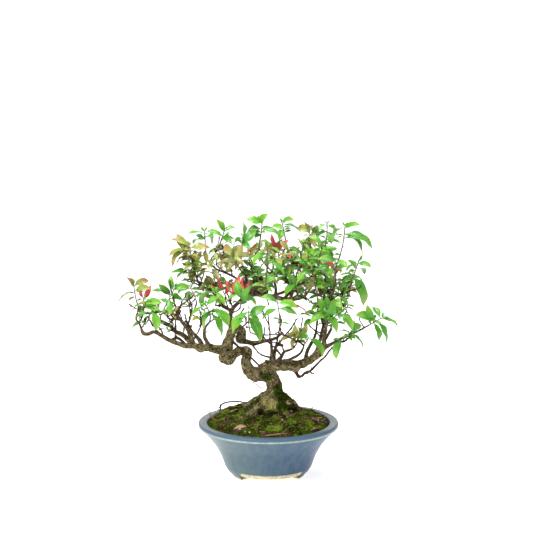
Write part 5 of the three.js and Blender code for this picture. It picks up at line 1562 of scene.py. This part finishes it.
leafForm = {
    "length": 27, "width": 0.39, "arch": 0.34, "firstPairDown": 3, "pairSpacing": 8, "thickness": 0.28,
    "fold": 0.3, "wave": 0.05, "redSize": 0.75, "faces": (6, 12), "smallFaces": (4, 7),
}
leafOutline = {
    "along": [0, 0.06, 0.12, 0.25, 0.4, 0.55, 0.7, 0.82, 0.92, 1],
    "width": [0.06, 0.07, 0.28, 0.74, 0.97, 1, 0.86, 0.58, 0.24, 0.02],
}
leafTurns = [0, 20, -20, 42, -42, 68, -68]
leafLifts = [0, 9]
stemShifts = [0, 5, -5, 10, -10]
stemForm = {"baseRadius": 0.95, "topRadius": 0.55, "nodeSwell": 0.35, "rows": 9}
smallLeaves = {"tipLength": 9, "sideLength": 17, "sides": 4, "sprigLength": 19, "sprigSpacing": 7,
               "redFrom": 0.965}
tones = {"leaves_yellow": 0.55, "leaves_right_pale": 0.35, "leaves_right_star": 0.15,
         "leaves_middle_small": 0.3}
pairSpacings = {"leaves_front_tall": 21}
foundWithin = 0.05


def leafTemplate(across, lengthwise):  # a flat leaf one unit long, with its thickness, that each copy bends
    deselectAll()
    bpy.ops.mesh.primitive_grid_add(
        x_subdivisions=across, y_subdivisions=lengthwise, size=1, location=(0, 0.5, 0))
    leaf = bpy.context.object
    leaf.name = "leafTemplate"
    settle(leaf)
    leaf.data.uv_layers[0].name = "leafMap"
    solid = leaf.modifiers.new("wall", "SOLIDIFY")
    solid.thickness = leafForm["thickness"] / leafForm["length"]
    solid.offset = -1
    applyModifiers(leaf)
    setAttribute(leaf.data, "underside", getCo(leaf.data)[:, 2] < -1e-5)
    smoothShade(leaf, 50)
    return leaf


def leafAxes(wish):  # which way the leaf's face lifts, and the middle of its arch
    chord = wish["tip"] - wish["root"]
    ahead = unit(chord)
    outward = unit(np.array([chord[0], chord[1], 0]))
    nearSide = -1 if wish["root"][1] < 40 else 1
    lift = up + outward * 0.6 + np.array([0, 0.7 * nearSide, 0])
    lift = unit(lift - ahead * lift.dot(ahead))
    middle = (wish["root"] + wish["tip"]) / 2 + lift * leafForm["arch"] * wish["length"]
    return lift, middle


def turnAbout(vector, axis, angle):
    return (vector * math.cos(angle) + np.cross(axis, vector) * math.sin(angle)
            + axis * (axis * vector).sum(-1, keepdims=True) * (1 - math.cos(angle)))


def bentLeaf(template, wish, draw):
    leaf = copyOf(template)
    flat = getCo(leaf.data)
    lift, middle = leafAxes(wish)
    along = np.clip(flat[:, 1], 0, 1)
    t = along[:, None]
    centre = bezier(wish["root"], middle, wish["tip"], t)
    ahead = (middle - wish["root"]) * (1 - t) + (wish["tip"] - middle) * t
    ahead /= np.linalg.norm(ahead, axis=1)[:, None]
    face = lift - ahead * (ahead @ lift)[:, None]
    face /= np.linalg.norm(face, axis=1)[:, None]
    face = turnAbout(face, ahead, wish["roll"])
    across = np.cross(ahead, face)
    half = 0.5 * leafForm["width"] * wish["breadth"] * wish["length"]
    side = flat[:, 0] * 2
    width = half * np.interp(along, leafOutline["along"], leafOutline["width"])
    phase = next(draw) * 6.3
    sag = (next(draw) - 0.5) * 0.12 * wish["length"] * along * (1 - along) * 4
    wave = leafForm["wave"] * wish["length"] * np.abs(side) ** 2 * np.sin(along * 11 + phase + side)
    fold = leafForm["fold"] * (0.4 + 1.1 * next(draw)) * (np.abs(side) ** 1.4 - 0.3) * width
    height = fold + wave * width / half * 0.6 + flat[:, 2] * leafForm["length"]
    co = centre + across * (side * width + sag)[:, None] + face * height[:, None]
    setCo(leaf.data, co * mm + potAxis)
    setAttribute(leaf.data, "tone", wish["tone"] + 0.75 * next(draw))
    setAttribute(leaf.data, "young", wish["young"])
    return leaf


def nodeTree(name):
    co = (getCo(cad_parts[name].data) - potAxis) / mm
    tree = kdtree.KDTree(len(co))
    for i, c in enumerate(co):
        tree.insert(c, i)
    tree.balance()
    return tree


def isVertex(tree, point):
    return tree.find(Vector(point))[2] < foundWithin


def leafWishes(spray, index, tree):
    line = spray["lines"][index]
    length = np.linalg.norm(line["tip"] - line["start"])
    spacing = pairSpacings.get(spray["name"], leafForm["pairSpacing"])
    leaves = []
    for i, (dx, dz) in enumerate(spray["stems"][index][1:]):
        pair = i // 2
        down = min(leafForm["firstPairDown"] + pair * spacing, 0.85 * length)
        root = bezier(line["start"], line["middle"], line["tip"], 1 - down / length)
        share = leafForm["redSize"] if spray["colour"] == "red" else 1
        size = (0.85 + 0.25 * next(spray["draw"])) * share
        roll = (next(spray["draw"]) - 0.5) * 1.1
        breadth = (0.85 + 0.3 * next(spray["draw"])) * share
        x = line["tip"][0] + dx - root[0]
        z = line["tip"][2] + dz - root[2]
        seen = math.hypot(x, z)
        full = max(leafForm["length"] * size * (0.62 if seen < 13 else 1), seen / 0.93)
        depth = math.sqrt(max((0.93 * full) ** 2 - seen ** 2, 0)) * [-1, 1, 1, -1][i % 4]
        tip = root + np.array([x, depth, z])
        wish = {"root": root, "tip": tip, "roll": roll, "breadth": breadth, "length": full,
                "young": [1, 0.4, 0][min(pair, 2)], "tone": tones.get(spray["name"], 0)}
        moved = usedMove(wish, tree)
        if moved:  # the part leaves out a leaf that has no room
            leaves.append(moved)
    return leaves


def usedMove(wish, tree):  # the turn and lift that the part's rule gave this leaf
    chord = wish["tip"] - wish["root"]
    length = np.linalg.norm(chord)
    for lift in leafLifts:
        for turn in leafTurns:
            moved = turnAbout(chord, up, math.radians(turn)) + up * lift
            tip = wish["root"] + unit(moved) * length
            if isVertex(tree, tip):
                return {**wish, "tip": tip}
    return None


def smallWishes(line, shift, draw):  # a pair of tiny leaves at the stem's tip, and a few lower down
    result = []
    along = unit(line["tip"] - line["middle"])
    side = unit(np.cross(along, [next(draw) - 0.5, next(draw) - 0.5, 0.4]))
    for sign in (-1, 1):
        length = smallLeaves["tipLength"] * (0.6 + 0.7 * next(draw))
        tip = line["tip"] + unit(along * 0.8 + side * sign * (0.5 + 0.5 * next(draw))) * length
        result.append({"root": line["tip"], "tip": tip, "length": length})
    for _ in range(smallLeaves["sides"]):
        root = bezier(line["start"], line["middle"], line["tip"], 0.1 + 0.7 * next(draw))
        length = smallLeaves["sideLength"] * (0.55 + 0.75 * next(draw))
        aside = unit(np.array([next(draw) - 0.5, next(draw) - 0.5, 0]))
        tip = root + unit(along * 0.25 + aside - up * 0.3 * next(draw)) * length
        result.append({"root": root, "tip": tip, "length": length})
    return [finishedWish(wish, shift, draw) for wish in result]


def finishedWish(wish, shift, draw):
    return {**wish, "roll": (next(draw) - 0.5) * 1.2, "breadth": 0.72 + 0.26 * next(draw),
            "young": 0.2 + 0.6 * next(draw), "tone": shift}


def sprigWishes(end, way, draw):  # opposite pairs of leaves at the end of a thin twig
    result = []
    side = unit(np.cross(way, [next(draw) - 0.5, next(draw) - 0.5, 0.2]))
    for pair in range(1 + int(next(draw) * 2.4)):
        root = end - way * pair * smallLeaves["sprigSpacing"]
        side = np.cross(way, side)
        for sign in (-1, 1):
            length = smallLeaves["sprigLength"] * (0.6 + 0.7 * next(draw))
            tip = root + unit(side * sign + way * 0.35 - up * 0.35 * next(draw)) * length
            result.append(finishedWish({"root": root, "tip": tip, "length": length}, 0.1, draw))
    return result


def buildSprigs(template, draw):
    leaves = {"green": [], "bronze": [], "red": []}
    for end, way, bronzeShare in sprigEnds:
        pick = next(draw)
        colour = "bronze" if pick < bronzeShare else "red" if pick > smallLeaves["redFrom"] else "green"
        leaves[colour] += [bentLeaf(template, wish, draw) for wish in sprigWishes(end, way, draw)]
    for colour, copies in leaves.items():
        piece = joinPieces(copies)
        print(colour, "sprigs", len(copies), "leaves", len(piece.data.polygons), "faces")
        registerPiece(piece, colour + "Sprigs", leafMaterials[colour], "leaf_" + colour)


def buildStems(spray, draw):
    lines = []
    for line in spray["lines"]:
        rows = []
        for i in range(stemForm["rows"]):
            t = i / (stemForm["rows"] - 1)
            radius = stemForm["baseRadius"] + (stemForm["topRadius"] - stemForm["baseRadius"]) * t
            swell = 1 + stemForm["nodeSwell"] * (i % 2) * next(draw)
            rows.append([*bezier(line["start"], line["middle"], line["tip"], t), radius * swell])
        lines.append(rows)
    stems = tubesFrom(spray["name"] + "Stems", lines, 8, 2)
    smoothShade(stems)
    wear(stems, stemMaterial)
    return stems


def buildShoot(spray, template, smallTemplate):
    tree = nodeTree(spray["name"])
    for line in spray["lines"]:
        for shift in stemShifts:
            tip = line["tip"] + np.array([0, shift, 0])
            if isVertex(tree, tip):
                line["tip"] = tip
                break
        else:
            print("a stem's tip not found in", spray["name"])
    draw = randomFrom(31 * len(spray["name"]) + 17 * int(abs(spray["seat"][0])) + 5)
    wishes = [wish for k in range(len(spray["stems"])) for wish in leafWishes(spray, k, tree)]
    leaves = [bentLeaf(template, wish, draw) for wish in wishes]
    if spray["colour"] != "red":
        for line in spray["lines"]:
            wishes = smallWishes(line, tones.get(spray["name"], 0), draw)
            leaves += [bentLeaf(smallTemplate, wish, draw) for wish in wishes]
    for leaf in leaves:
        wear(leaf, leafMaterials[spray["colour"]])
    shoot = joinPieces([buildStems(spray, draw), *leaves])
    pieceName = spray["name"].title().replace("_", "")
    registerPiece(shoot, pieceName, None, "leaf_" + spray["colour"], [spray["name"]])
    return len(leaves)


def buildShoots(template, smallTemplate):
    count = sum(buildShoot(spray, template, smallTemplate) for spray in sprays)
    print("shoots", len(sprays), "leaves", count)


# Fine roots that hang in the air at the trunk's foot

aerialRoots = [
    [[-24, -12, 141, 0.6], [-18, -14, 138, 0.7], [-13, -14, 134, 0.7], [-6, -14, 132, 0.7]],
    [[-39, 10, 124, 0.3], [-39, 10, 119, 0.35], [-38, 10, 112, 0.35], [-34, 10, 105, 0.35]],
    [[29, -10, 97, 0.5], [29, -13, 91, 0.45], [28, -15, 86, 0.4]],
    [[-14, -22, 106, 0.4], [-16, -27, 99, 0.35], [-15, -30, 93, 0.3]],
    [[12, -22, 104, 0.4], [15, -27, 98, 0.35], [14, -30, 92, 0.3]],
]


def buildAerialRoots():
    fine = tubesFrom("aerialRoots", aerialRoots, 6, 4)
    setAttribute(fine.data, "tone", 0.25)
    smoothShade(fine)
    registerPiece(fine, "aerialRoots", strawMaterial, "bark")


draw = randomFrom(seeds["soilAndLitter"])
growAll()
limbsPiece = buildLimbs()
buildTwigs()
leafStart = leafTemplate(*leafForm["faces"])
smallStart = leafTemplate(*leafForm["smallFaces"])
buildShoots(leafStart, smallStart)
buildSprigs(smallStart, randomFrom(seeds["sprigs"]))
buildPot()
buildSoil()
tuft = tuftTemplate(draw)
patch = patchTemplate(tuft, draw)
buildGroundMoss(patch, draw)
buildWoodMoss(tuft, limbsPiece, draw)
for template in (tuft, patch):
    bpy.data.objects.remove(template)
buildStraws(draw)
buildChips(draw)
buildDeadLeaves(leafStart, draw)
for template in (leafStart, smallStart):
    bpy.data.objects.remove(template)
buildAerialRoots()
print("litter and fine roots")
